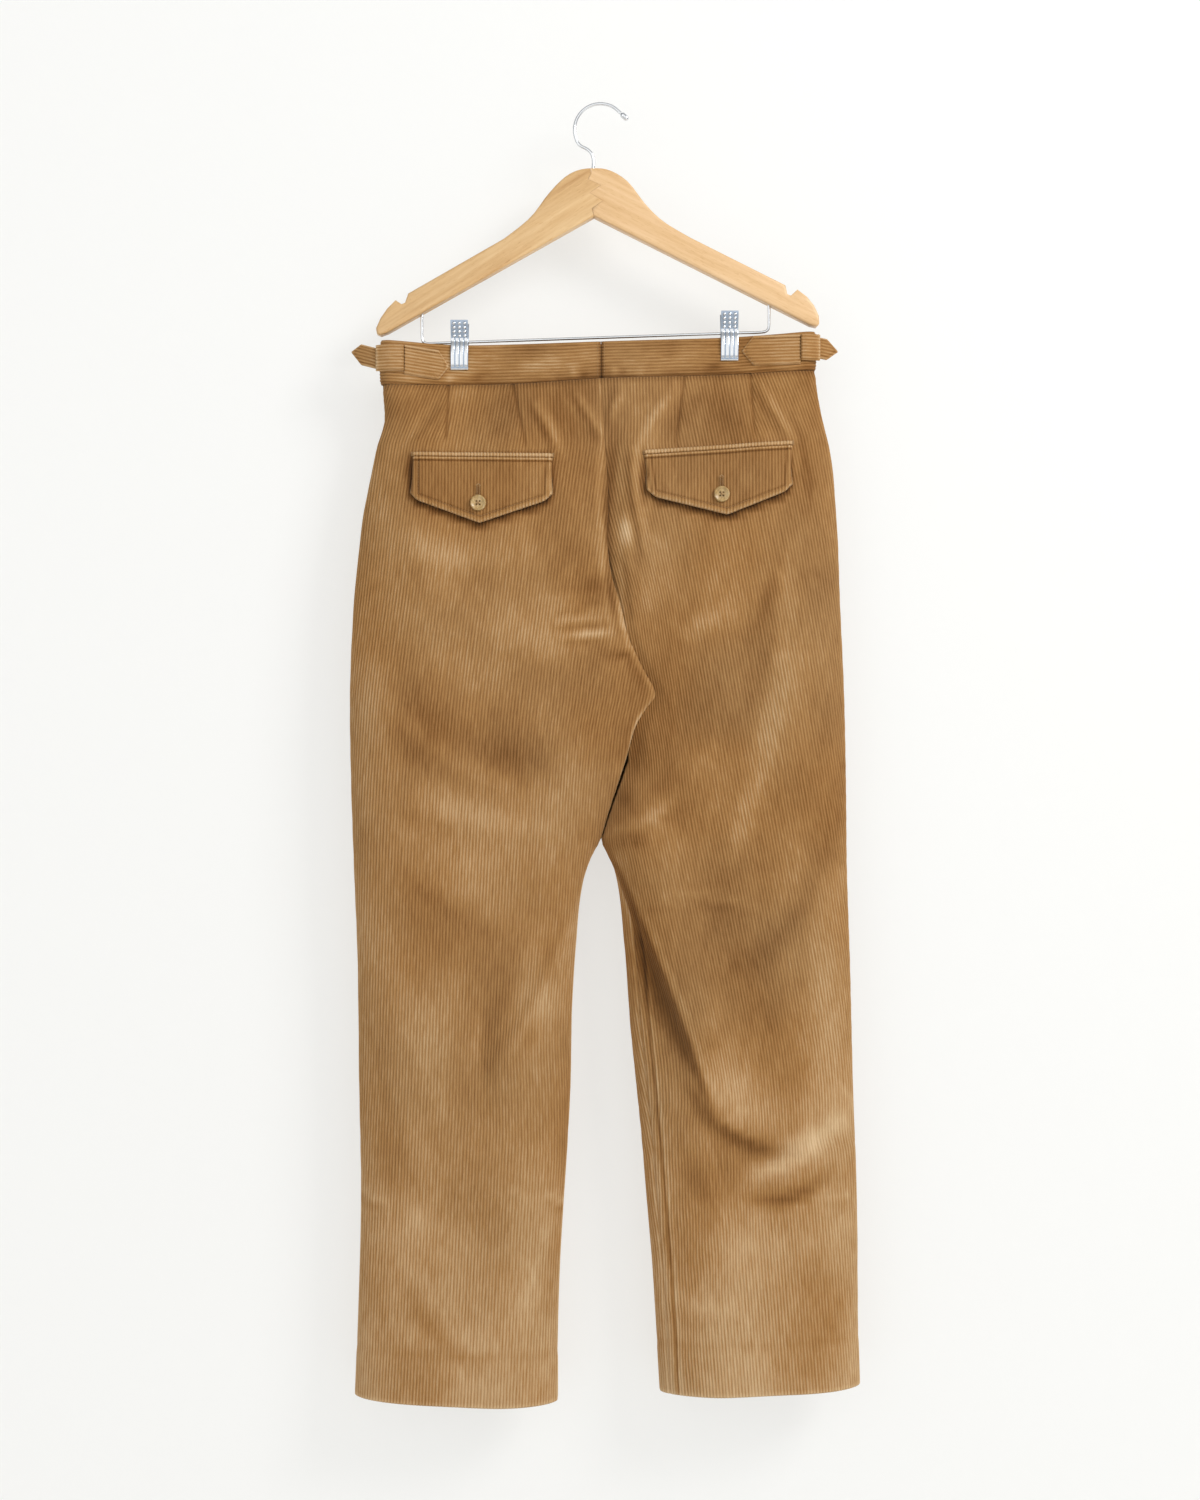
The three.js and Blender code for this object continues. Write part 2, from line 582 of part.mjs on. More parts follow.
function flapWall(name, pocket) {
  const rows = [];
  const low = [];
  for (let i = 0; i <= FLAP_ROWS; i += 1) {
    const down = i / FLAP_ROWS;
    const row = [];
    for (let j = 0; j <= FLAP_COLUMNS; j += 1) {
      const share = closeAtEnds(FLAP_COLUMNS, j);
      const [x, top] = between(pocket.from, pocket.to, share);
      const [bottomX, bottom] = flapEdge(pocket, share);
      row.push([mix(x, bottomX, down), mix(top + WELT_HEIGHT, bottom, down)]);
    }
    rows.push(row);
    low.push(LAY_GAP + FLAP_LIFT * down ** 2);
  }
  return layOn(name, rows, low, low.map((out) => out + DOUBLE_CLOTH));
}

// A geometry as a solid that can be cut, and back.
function solid(geometry) {
  const bare = geometry.clone();
  bare.deleteAttribute("normal");
  bare.deleteAttribute("uv");
  const merged = mergeVertices(bare, 1e-4);
  return new wasm.Manifold(
    new wasm.Mesh({
      numProp: 3,
      vertProperties: new Float32Array(merged.attributes.position.array),
      triVerts: new Uint32Array(merged.index.array),
    }),
  );
}

function cutGeometry(manifold) {
  const { vertProperties, triVerts } = manifold.getMesh();
  const geometry = new THREE.BufferGeometry();
  geometry.setAttribute("position", new THREE.BufferAttribute(vertProperties, 3));
  geometry.setIndex(new THREE.BufferAttribute(triVerts, 1));
  geometry.computeVertexNormals();
  return geometry;
}

// A four-hole button, facing -Y, with a rim round a shallow dish.
function buttonGeometry() {
  const profile = [
    [0, 0], [BUTTON_RADIUS - 1, 0], [BUTTON_RADIUS, 1], [BUTTON_RADIUS, BUTTON_THICK - 0.8],
    [BUTTON_RADIUS - 0.9, BUTTON_THICK], [BUTTON_RADIUS - 1.9, BUTTON_THICK - 0.2],
    [BUTTON_RADIUS - 3, BUTTON_THICK - 1.1], [0, BUTTON_THICK - 1.2],
  ].map(([radius, height]) => new THREE.Vector2(radius, height));
  let body = solid(new THREE.LatheGeometry(profile, BUTTON_SIDES));
  for (const [sideways, upwards] of [[-1, -1], [-1, 1], [1, -1], [1, 1]]) {
    const hole = new THREE.CylinderGeometry(BUTTON_HOLE, BUTTON_HOLE, 4 * BUTTON_THICK, 8);
    hole.translate((sideways * BUTTON_HOLES_APART) / 2, 0, (upwards * BUTTON_HOLES_APART) / 2);
    body = body.subtract(solid(hole));
  }
  return cutGeometry(body).rotateX(Math.PI);
}

// Wooden hanger, one outline cut in two along the finger joint.
function hangerShape() {
  const shape = new THREE.Shape();
  const left = HANGER_LEFT;
  const right = HANGER_RIGHT;
  shape.moveTo(...HANGER_APEX);
  shape.lineTo(...left.under);
  shape.quadraticCurveTo(...left.tip, ...left.side);
  shape.quadraticCurveTo(...left.shoulder, ...left.end);
  for (const corner of left.notch) shape.lineTo(...corner);
  shape.lineTo(...left.upper);
  shape.splineThru(CROWN.map(([x, z]) => new THREE.Vector2(x, z)));
  for (const corner of right.notch) shape.lineTo(...corner);
  shape.lineTo(...right.end);
  shape.quadraticCurveTo(...right.shoulder, ...right.side);
  shape.quadraticCurveTo(...right.tip, ...right.under);
  return shape;
}

function armGeometries() {
  const blank = new THREE.ExtrudeGeometry(hangerShape(), {
    depth: ARM_THICK - 2 * ARM_EDGE,
    bevelThickness: ARM_EDGE,
    bevelSize: ARM_EDGE,
    bevelOffset: -ARM_EDGE,
    bevelSegments: 3,
    curveSegments: 3,
  });
  blank.translate(0, 0, ARM_EDGE - ARM_THICK / 2).rotateX(Math.PI / 2);
  let body = solid(blank);
  const holes = [{ x: STEM_X, top: STEM_TOP, foot: STEM_FOOT + 1, thick: HOOK_WIRE }];
  for (const [x, top] of [BAR.leftLeg, BAR.rightLeg]) {
    holes.push({ x, top: top - 1, foot: top + BAR_SOCKET, thick: BAR_WIRE });
  }
  for (const { x, top, foot, thick } of holes) {
    const hole = new THREE.CylinderGeometry(thick / 2 + GAP, thick / 2 + GAP, foot - top, 14);
    body = body.subtract(solid(hole.rotateX(Math.PI / 2).translate(x, 0, -(top + foot) / 2)));
  }
  const beyond = 300; // sideways, past both tips
  const deep = 4 * ARM_THICK;
  return [-1, 1].map((side) => {
    const half = new THREE.Shape();
    half.moveTo(side * beyond, FINGERS[0][1]);
    for (const [x, z] of FINGERS) half.lineTo(x + (side * GAP) / 2, z);
    half.lineTo(side * beyond, FINGERS.at(-1)[1]);
    const block = new THREE.ExtrudeGeometry(half, { depth: deep, bevelEnabled: false });
    block.translate(0, 0, -deep / 2).rotateX(Math.PI / 2);
    return cutGeometry(body.intersect(solid(block)));
  });
}

// A round wire along a curve.
function wire(curve, thick, steps, sides) {
  const section = new THREE.Shape();
  section.absarc(0, 0, thick / 2, 0, 2 * Math.PI, false);
  return new THREE.ExtrudeGeometry(section, { steps, extrudePath: curve, curveSegments: sides });
}

const inPlane = ([x, z]) => new THREE.Vector3(x, 0, z);

function hookCurve() {
  const points = [-STEM_FOOT, -(STEM_TOP + STEM_FOOT) / 2, -STEM_TOP].map((z) => [STEM_X, z]);
  points.push(HOOK_NECK);
  const [x, z] = HOOK_CENTRE;
  for (let degrees = HOOK_TURN.from; degrees >= HOOK_TURN.to; degrees -= HOOK_TURN.step) {
    const angle = THREE.MathUtils.degToRad(degrees);
    points.push([x + HOOK_RADIUS * Math.cos(angle), z + HOOK_RADIUS * Math.sin(angle)]);
  }
  points.push(HOOK_END);
  return new THREE.CatmullRomCurve3(points.map(inPlane), false, "centripetal");
}

// The bar's drop under its straight run.
const BAR_FALL = (BAR.right[1] - BAR.left[1]) / (BAR.right[0] - BAR.left[0]);
const barDrop = (x) => BAR.left[1] + BAR_FALL * (x - BAR.left[0]);

function barCurve() {
  const corners = [
    [BAR.leftLeg[0], -BAR.leftLeg[1]],
    [BAR.leftLeg[0], -barDrop(BAR.leftLeg[0])],
    [BAR.rightLeg[0], -barDrop(BAR.rightLeg[0])],
    [BAR.rightLeg[0], -BAR.rightLeg[1]],
  ].map(inPlane);
  const path = new THREE.CurvePath();
  const towards = (corner, other) => other.clone().sub(corner).setLength(BAR_BEND).add(corner);
  let from = corners[0];
  for (let i = 1; i < corners.length - 1; i += 1) {
    const before = towards(corners[i], corners[i - 1]);
    const after = towards(corners[i], corners[i + 1]);
    path.add(new THREE.LineCurve3(from, before));
    path.add(new THREE.QuadraticBezierCurve3(before, corners[i], after));
    from = after;
  }
  path.add(new THREE.LineCurve3(from, corners.at(-1)));
  return path;
}

// One plate of a clip: finger grip above the bar, jaw below it on the band.
function clipPlate(middle, face) {
  const sheet = (extra) =>
    CLIP_PROFILE.below.map((below, i) =>
      [-1, 0, 1].map((side) => {
        const x = middle + (side * CLIP_WIDTH) / 2;
        return new THREE.Vector3(x, face * (CLIP_PROFILE.out[i] + extra), -(barDrop(middle) + below));
      }),
    );
  return wall(sheet(CLIP_PLATE), sheet(0));
}

function springGeometry(middle) {
  const inner = BAR_WIRE / 2 + GAP;
  const half = SPRING_LENGTH / 2;
  const ring = [[inner, -half], [SPRING_RADIUS, -half], [SPRING_RADIUS, half], [inner, half], [inner, -half]];
  const section = ring.map(([radius, height]) => new THREE.Vector2(radius, height));
  const spring = new THREE.LatheGeometry(section, 16);
  return spring.rotateZ(Math.PI / 2).rotateY(Math.atan(BAR_FALL)).translate(middle, 0, -barDrop(middle));
}

function hookTip() {
  const onwards = new THREE.Vector3(1, 0, -TIP_SLOPE).normalize();
  const tip = new THREE.CapsuleGeometry(TIP_RADIUS, TIP_LENGTH, 5, 12);
  const turn = new THREE.Quaternion().setFromUnitVectors(new THREE.Vector3(0, 1, 0), onwards);
  const centre = inPlane(HOOK_END).addScaledVector(onwards, GAP + TIP_RADIUS + TIP_LENGTH / 2);
  return tip.applyQuaternion(turn).translate(centre.x, centre.y, centre.z);
}

const FINISH = {
  corduroy: { color: CORDUROY, roughness: 0.95, metalness: 0 },
  flap: { color: CORDUROY_DARK, roughness: 0.95, metalness: 0 },
  horn: { color: HORN, roughness: 0.35, metalness: 0 },
  beech: { color: BEECH, roughness: 0.5, metalness: 0 },
  chrome: { color: CHROME, roughness: 0.15, metalness: 1 },
};

const trousers = new THREE.Group();

function add(name, geometry, finish) {
  const mesh = new THREE.Mesh(geometry, new THREE.MeshStandardMaterial(FINISH[finish]));
  mesh.name = name;
  trousers.add(mesh);
  return mesh;
}

for (const [name, { face }] of Object.entries(PANELS)) {
  add(name, panelWall(name, face === "back" ? BACK_COLUMNS : FRONT_COLUMNS), "corduroy");
}

for (const hand of ["left", "right"]) {
  const adjuster = ADJUSTERS[hand];
  add(`waistband_${hand}`, bandWall(adjuster.side), "corduroy");
  add(`adjuster_strip_${hand}`, stripWall(adjuster), "corduroy");
  add(`adjuster_loop_${hand}`, loopWall(adjuster), "corduroy");
  add(`adjuster_tail_${hand}`, tailWall(adjuster), "corduroy");

  const pocket = POCKETS[hand];
  const panel = `back_${hand}`;
  add(`welt_${hand}`, weltWall(panel, pocket), "corduroy");
  add(`flap_${hand}`, flapWall(panel, pocket), "flap");
  const [x, drop] = pocket.button;
  const round = [[0, 0], [-1, 0], [1, 0], [0, -1], [0, 1]];
  const under = round.map(([i, k]) => outsideAt(panel, x + i * BUTTON_RADIUS, drop + k * BUTTON_RADIUS));
  const seat = Math.max(...under) + LAY_GAP + FLAP_LIFT + DOUBLE_CLOTH + GAP;
  add(`button_${hand}`, buttonGeometry(), "horn").position.set(x, -seat, -drop);
}

const [armLeft, armRight] = armGeometries();
add("hanger_arm_left", armLeft, "beech");
add("hanger_arm_right", armRight, "beech");
add("hook", wire(hookCurve(), HOOK_WIRE, HOOK_STEPS, WIRE_SIDES), "chrome");
add("hook_tip", hookTip(), "chrome");
add("clip_bar", wire(barCurve(), BAR_WIRE, BAR_STEPS, WIRE_SIDES), "chrome");
for (const [hand, middle] of Object.entries(CLIPS)) {
  add(`clip_back_${hand}`, clipPlate(middle, -1), "chrome");
  add(`clip_front_${hand}`, clipPlate(middle, 1), "chrome");
  add(`clip_spring_${hand}`, springGeometry(middle), "chrome");
}

export default trousers;
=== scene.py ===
"""Corduroy trousers, seen from behind, hung by the waistband from a wooden clip hanger."""
import math

import bmesh
import bpy
import numpy as np
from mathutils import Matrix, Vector


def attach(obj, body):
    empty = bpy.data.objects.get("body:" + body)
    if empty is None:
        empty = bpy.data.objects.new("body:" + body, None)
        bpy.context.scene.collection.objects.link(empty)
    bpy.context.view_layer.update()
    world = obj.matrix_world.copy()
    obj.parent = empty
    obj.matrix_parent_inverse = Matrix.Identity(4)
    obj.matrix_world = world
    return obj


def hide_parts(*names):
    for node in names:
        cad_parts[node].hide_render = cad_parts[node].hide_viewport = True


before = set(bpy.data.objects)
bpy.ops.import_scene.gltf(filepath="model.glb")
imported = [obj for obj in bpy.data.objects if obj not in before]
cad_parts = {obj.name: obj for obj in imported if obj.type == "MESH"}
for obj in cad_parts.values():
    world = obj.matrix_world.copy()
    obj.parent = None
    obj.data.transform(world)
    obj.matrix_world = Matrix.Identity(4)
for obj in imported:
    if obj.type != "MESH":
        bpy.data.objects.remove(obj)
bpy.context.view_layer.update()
MM = 0.001

# The garment's lines, in millimetres. A drop is a height measured down from the hook. The back faces -Y.
ACROSS_X = [-245, -214, -146, -76, 5, 64, 124, 179, 218, 262]
BAND_TOP = [234, 235, 239.5, 239.5, 237, 235, 232.5, 229.5, 226.5, 224]
WAIST_SEAM = [280, 279.5, 279.5, 278.5, 273.5, 271.5, 269.5, 267, 265.5, 264]
HEM = [1287, 1288, 1290.5, 1293.5, 1291, 1284, 1282, 1280, 1278.5, 1277]
FIRST_DROP, LAST_DROP = 273.5, 1291

SIDE_DROP = [266, 290, 317, 344, 374, 404, 434, 494, 584, 674, 764, 854, 974, 1094, 1214, 1290]
SIDE_SEAM = {
    "left": [-215, -213, -212, -220, -226, -232, -236, -242, -246, -245, -242, -238.5, -237, -235, -238, -241],
    "right": [219, 222, 227.5, 234, 238, 240, 242, 244, 248, 250, 251, 254, 257, 261, 262, 264],
}
APEX_DROP = 735
GAP_DROP = [735, 749, 763, 779, 804, 829, 860, 914, 974, 1034, 1094, 1154, 1214, 1290]
LEG_GAP = {
    "left": [4.6, -3.4, -9, -13.4, -17, -19, -21.4, -24, -25, -28, -32, -35.6, -37.6, -38.2],
    "right": [4.6, 11.5, 18, 22, 25.4, 27.6, 30.4, 34, 40, 46, 51, 56, 60, 64.4],
}
CENTRE_BACK_DROP = [273, 324, 394, 434, 467, 503, 533, 564, 589, 604, 619, 653, 700, 735]
CENTRE_BACK = [5, 8, 12, 11, 14.5, 25, 33, 47, 59, 49, 40.5, 32, 15.9, 4.6]
UNDERLAP_DROP = [480, 503, 533, 564, 589, 604, 625, 650]
UNDERLAP = [0, 3, 10, 21, 31, 22, 9, 0]
CENTRE_FRONT_DROP = [273, 540, 735]
CENTRE_FRONT = [4, 4, 4.6]
ROLL_STARTS, ROLL_ENDS, ROLL_BREADTH = 760, 830, 10

# Half depths, from the middle plane to the outside of the cloth
FULL_DROP = [273, 330, 400, 480, 560, 640, 735, 850, 1000, 1150, 1290]
FULLNESS = {
    "back": [11, 15, 21, 25, 27, 28, 27, 26, 26, 28, 33],
    "front": [10, 13, 17, 20, 22, 24, 25, 25, 26, 28, 32],
}
WAIST_X = [-214, -196, -165, -147, -136, -125, -105, -50, 5, 50, 103, 122, 133, 144, 162, 198, 218]
WAIST_DEPTH = [8, 8, 5.4, 3.8, 3.7, 3.8, 5, 8.5, 9, 8.5, 5, 3.8, 3.7, 3.8, 5.4, 8, 8]
WAIST_ROUNDING, LEG_ROUNDING, WAIST_EASE, LEAST_DEPTH = 12, 72, 75, 4
LAP, LAP_SLOPE, LAP_FREE = 4.8, 0.5, 20
LAP_STARTS, LAP_ENDS = (400, 462), (652, 700)
CLOSING = {"back": 610, "front": 520}

# Folds by their crest: upper end, middle and lower end as (x, drop), the breadth of the slope on the left and
# on the right, and the height. The first rows of each list are the garment's main folds, the others its finer
# creases.
BACK_FOLDS = [
    ((8, 726), (62, 850), (120, 1004), 7, 46, 13),
    ((88, 950), (134, 1016), (216, 1032), 10, 34, 8),
    ((2, 742), (-46, 868), (-112, 1004), 18, 26, 7),
    ((38, 296), (31, 400), (40, 512), 11, 26, 5.5),
    ((9, 300), (8, 405), (14, 505), 5, 5, -1.8),
    ((-72, 300), (-34, 400), (10, 480), 26, 20, 2),
    ((-132, 272), (-158, 320), (-186, 372), 16, 16, 3),
    ((130, 262), (148, 318), (176, 380), 18, 18, 3),
    ((-178, 540), (-120, 640), (-30, 715), 40, 40, -1.6),
    ((30, 700), (90, 668), (180, 640), 18, 24, 3),
    ((262, 1015), (190, 1058), (120, 1096), 26, 22, -5),
    ((250, 982), (190, 1022), (120, 1050), 22, 26, 4),
    ((-226, 1040), (-170, 1096), (-90, 1130), 30, 30, -4),
    ((-70, 1080), (-90, 1170), (-120, 1260), 26, 30, 3.5),
    ((92, 524), (132, 500), (184, 468), 12, 18, 2.4),
    ((190, 548), (180, 640), (138, 712), 14, 20, 2.6),
    ((150, 852), (204, 806), (250, 768), 16, 18, 2.4),
    ((196, 742), (226, 706), (250, 660), 14, 18, -2.8),
    ((28, 640), (58, 690), (66, 740), 18, 22, -2),
    ((-196, 420), (-120, 520), (-10, 548), 24, 30, 3),
    ((-226, 760), (-160, 800), (-70, 840), 30, 34, 1.4),
    ((-212, 880), (-186, 1000), (-196, 1130), 20, 24, 1.2),
]
BACK_CREASES = [
    ((-24, 288), (-8, 312), (8, 338), 6, 5, 2.2),
    ((28, 281), (19, 300), (10, 324), 5, 5, 2),
    ((-66, 296), (-50, 322), (-34, 356), 5, 6, 2),
    ((82, 280), (58, 312), (39, 342), 5, 6, 3),
    ((40, 334), (36, 380), (50, 458), 5, 7, 2.8),
    ((-140, 282), (-160, 314), (-188, 350), 5, 6, 1.6),
    ((160, 276), (178, 310), (196, 340), 6, 5, 1.4),
    ((-44, 518), (-8, 517), (24, 502), 5, 4, 2.2),
    ((-40, 536), (-6, 533), (30, 520), 4, 4, 1.8),
    ((-20, 552), (8, 549), (40, 541), 4, 4, 1.2),
    ((-60, 500), (-20, 500), (16, 486), 6, 6, 1.4),
    ((6, 742), (60, 712), (170, 652), 5, 8, 1.6),
    ((40, 806), (96, 792), (168, 806), 5, 7, 1.4),
    ((-214, 600), (-140, 662), (-40, 700), 14, 16, 1.8),
    ((-196, 690), (-120, 722), (-20, 724), 12, 16, 1.6),
    ((-8, 760), (-60, 890), (-110, 960), 5, 6, 1.8),
    ((-100, 870), (-112, 930), (-104, 1000), 9, 12, -1.8),
    ((150, 1068), (196, 1058), (256, 1020), 6, 7, 2),
    ((154, 1092), (200, 1090), (240, 1064), 7, 6, -1.6),
    ((-240, 1082), (-226, 1090), (-206, 1092), 5, 5, 1.4),
    ((-52, 1088), (-34, 1098), (-32, 1102), 4, 4, 1.2),
    ((252, 1086), (244, 1092), (226, 1092), 4, 5, 1.2),
    ((66, 1180), (96, 1200), (150, 1204), 14, 12, 1.4),
    ((-200, 1200), (-150, 1216), (-96, 1190), 16, 14, -1.6),
    ((-236, 300), (-226, 340), (-240, 400), 6, 8, -1),
    ((120, 440), (60, 500), (30, 560), 10, 14, -1.6),
]
FRONT_FOLDS = [
    ((-14, 716), (-70, 850), (-128, 1010), 30, 12, 7),
    ((22, 722), (66, 850), (150, 990), 14, 34, 7),
    ((-150, 300), (-136, 620), (-138, 960), 20, 20, 4),
    ((152, 296), (148, 620), (160, 960), 20, 20, 4),
    ((-20, 470), (-60, 560), (-120, 630), 22, 22, -4),
    ((30, 480), (76, 560), (140, 610), 22, 24, -4),
    ((-220, 1010), (-150, 1060), (-70, 1080), 26, 26, -4),
    ((110, 1020), (170, 1064), (240, 1090), 24, 28, -4),
]
FRONT_CREASES = [
    ((8, 640), (-30, 668), (-84, 680), 5, 6, 2),
    ((6, 672), (-26, 700), (-70, 716), 5, 6, 1.6),
    ((4, 640), (40, 662), (96, 672), 5, 6, 2),
    ((6, 690), (40, 706), (90, 726), 6, 5, 1.6),
    ((-200, 312), (-170, 352), (-150, 402), 7, 7, 1.6),
    ((200, 306), (174, 350), (156, 398), 7, 7, 1.6),
    ((-40, 300), (-54, 360), (-50, 430), 8, 6, 1.6),
    ((48, 300), (60, 362), (56, 430), 6, 8, 1.6),
    ((-216, 1060), (-160, 1096), (-90, 1096), 8, 10, 1.8),
    ((110, 1080), (176, 1110), (240, 1104), 9, 10, 1.8),
    ((-190, 820), (-150, 846), (-96, 842), 12, 10, 1.4),
    ((130, 800), (170, 822), (220, 812), 10, 12, 1.4),
]

# Cloth that a long fold hides: the wales on the outer side of its crest lean along it.
TUCKS = {
    "back_right": [((8, 724), (88, 925), (206, 1036), 12, 60)],
    "back_left": [((2, 730), (-46, 868), (-116, 1010), 8, 46)],
    "front_right": [((22, 722), (66, 850), (150, 990), 12, 50)],
    "front_left": [((-14, 716), (-70, 850), (-128, 1010), 12, 50)],
}
# Back darts, each by its line from the waist seam to the pocket and the cloth it takes in at the waist.
DARTS = {
    "back_left": [((-147.4, 279), (-149, 338), 13), ((-83, 279), (-70, 342), 13)],
    "back_right": [((88.5, 271), (78.6, 340), 13), ((153.6, 268), (158, 334), 13)],
    "front_left": [],
    "front_right": [],
}
DART_HALF = 0.7
# Where the middle wale starts on each panel, and how far the wales run out towards the side seam with the drop.
GRAIN_X = {"back_left": -116, "back_right": 110, "front_left": -118, "front_right": 126}
RUN_DROP = [273, 360, 470, 640, 950, 1030, 1290]
WALE_RUN = {
    "back_left": [0, 14, 28, 48, 62, 66, 78],
    "back_right": [0, 16, 36, 66, 120, 127, 147],
    "front_left": [0, 6, 12, 20, 32, 35, 44],
    "front_right": [0, 6, 12, 20, 32, 35, 44],
}
# How much further they run by the centre back, where the seam's bias has stretched.
LEANS = {"back_left": ((520, 640), 60, 8), "back_right": ((380, 520), 45, 14)}

# Corduroy. The real cloth has 8 to 10 wales an inch. They are drawn 3.2 mm apart, the finest that still shows.
WALE = 3.2
PER_WALE = 4
RIB_PROFILE = np.array([-0.38, 0.22, 0.38, 0.22])
SHELL = 1.5
ROW_STEP = 7.5
EDGE_ROWS = (578, 716, 2.5)  # closer rows, where the left back ends in a slanting edge


def along(keys, values, at):
    """A smooth curve through the points (keys, values)."""
    keys, values, at = (np.asarray(v, float) for v in (keys, values, at))
    last = len(keys) - 1
    low = np.maximum(np.arange(last + 1) - 1, 0)
    high = np.minimum(np.arange(last + 1) + 1, last)
    slope = (values[high] - values[low]) / (keys[high] - keys[low])
    i = np.clip(np.searchsorted(keys, at) - 1, 0, last - 1)
    width = keys[i + 1] - keys[i]
    u = (at - keys[i]) / width
    rise = values[i + 1] - values[i]
    a = slope[i] * width - rise
    b = rise - slope[i + 1] * width
    inside = values[i] + u * rise + u * (1 - u) * (a * (1 - u) + b * u)
    before = values[0] + slope[0] * (at - keys[0])
    after = values[-1] + slope[-1] * (at - keys[-1])
    return np.where(at <= keys[0], before, np.where(at >= keys[-1], after, inside))


def mix(a, b, share):
    return a + (b - a) * share


def ease(low, high, at):
    u = np.clip((at - low) / (high - low), 0, 1)
    return u * u * (3 - 2 * u)


def quarter_round(inwards, breadth, power=0.55):
    """0 at an edge, 1 from its breadth inwards."""
    return (1 - (1 - np.clip(inwards / breadth, 0, 1)) ** 2) ** power


def waist_seam(x):
    return along(ACROSS_X, WAIST_SEAM, x)


def row_drop(down, x):
    return mix(waist_seam(x), along(ACROSS_X, HEM, x), down)


def side_seam(name, drop):
    return along(SIDE_DROP, SIDE_SEAM[name.split("_")[1]], drop)


def inner_edge(name, drop):
    face, hand = name.split("_")
    leg = along(GAP_DROP, LEG_GAP[hand], drop)
    if face == "front":
        return np.where(drop > APEX_DROP, leg, along(CENTRE_FRONT_DROP, CENTRE_FRONT, drop))
    seam = along(CENTRE_BACK_DROP, CENTRE_BACK, drop)
    if hand == "right":
        covered = (drop > UNDERLAP_DROP[0]) & (drop < UNDERLAP_DROP[-1])
        seam = seam - np.where(covered, along(UNDERLAP_DROP, UNDERLAP, drop), 0)
    return np.where(drop > APEX_DROP, leg, seam)


def meet(edge, name, down):
    """Where the row that lies this share of the way down meets an edge of a panel."""
    x = edge(name, mix(FIRST_DROP, LAST_DROP, down))
    for _ in range(4):
        x = edge(name, row_drop(down, x))
    return x


def crest_reading(crest, x, drop):
    """The distance from a fold's crest, the share along it, and on which side the place lies."""
    start, over, stop = (np.array(p, float) for p in crest)
    bend = 2 * over - (start + stop) / 2
    s = np.linspace(0, 1, 13)[:, None]
    line = (1 - s) ** 2 * start + 2 * s * (1 - s) * bend + s**2 * stop
    far = np.full(np.shape(x), np.inf)
    share = np.zeros(np.shape(x))
    side = np.ones(np.shape(x))
    for i in range(12):
        run = line[i + 1] - line[i]
        off_x, off_y = x - line[i, 0], drop - line[i, 1]
        u = np.clip((off_x * run[0] + off_y * run[1]) / (run @ run), 0, 1)
        here = np.hypot(off_x - u * run[0], off_y - u * run[1])
        closer = here < far
        far = np.where(closer, here, far)
        share = np.where(closer, (i + u) / 12, share)
        side = np.where(closer, off_x * run[1] - off_y * run[0], side)
    return far, share, side


def fold_height(folds, x, drop):
    total = np.zeros(np.shape(x))
    for start, over, stop, left, right, height in folds:
        reach = 2.6 * max(left, right)
        xs, drops = zip(start, over, stop)
        near = (x > min(xs) - reach) & (x < max(xs) + reach)
        near &= (drop > min(drops) - reach) & (drop < max(drops) + reach)
        if not near.any():
            continue
        far, share, side = crest_reading((start, over, stop), x[near], drop[near])
        breadth = np.where(side > 0, right, left)
        total[near] += height * np.exp(-((far / breadth) ** 2)) * np.sin(np.pi * share) ** 0.7
    return total


def waist_depth(x, inwards):
    return along(WAIST_X, WAIST_DEPTH, x) * quarter_round(inwards, WAIST_ROUNDING, 0.5)


def depth(name, x, drop, outer, inner, fine=True):
    """How far the outside of a panel stands from the middle plane."""
    face = name.split("_")[0]
    in_seam = np.abs(x - outer)
    closing = ease(CLOSING[face], APEX_DROP, drop)
    drawn_in = mix(1, quarter_round(np.abs(inner - x), LEG_ROUNDING), closing)
    waist = waist_seam(x)
    opened = ease(waist, waist + WAIST_EASE, drop)
    folds = BACK_FOLDS if face == "back" else FRONT_FOLDS
    full = along(FULL_DROP, FULLNESS[face], drop) + fold_height(folds, x, drop)
    bowed = np.maximum(full, LEAST_DEPTH) * quarter_round(in_seam, LEG_ROUNDING) * drawn_in
    out = mix(waist_depth(x, in_seam), bowed, opened)
    if name == "back_right":
        point = inner_edge("back_left", drop)
        covering = np.minimum(x, point)
        over = depth("back_left", covering, drop, side_seam("back_left", drop), point, False)
        free = LAP_FREE * (1 - ease(*LAP_STARTS, drop) + ease(*LAP_ENDS, drop))
        under = over - LAP + LAP_SLOPE * np.maximum(0, x - point) + free
        out = np.where(drop > LAP_ENDS[1], out, np.minimum(out, under))
    if fine:
        creases = BACK_CREASES if face == "back" else FRONT_CREASES
        at_edge = ease(0, 14, in_seam)
        out = out + fold_height(creases, x, drop) * ease(waist, waist + 18, drop) * at_edge
        out = out + ripple(x, drop) * ease(waist, waist + 60, drop) * at_edge
    return out


def ripple(x, drop):
    """The slight unevenness of cloth that hangs freely."""
    broad = np.sin(x / 23 + drop / 61) + np.sin(drop / 37 - x / 41 + 1.3) + np.sin(x / 15 - drop / 90)
    slanted = np.sin((x - 0.8 * drop) / 19 + np.sin(drop / 71)) + np.sin((x + 1.4 * drop) / 31 + np.sin(x / 47))
    return 0.35 * broad + 0.3 * slanted


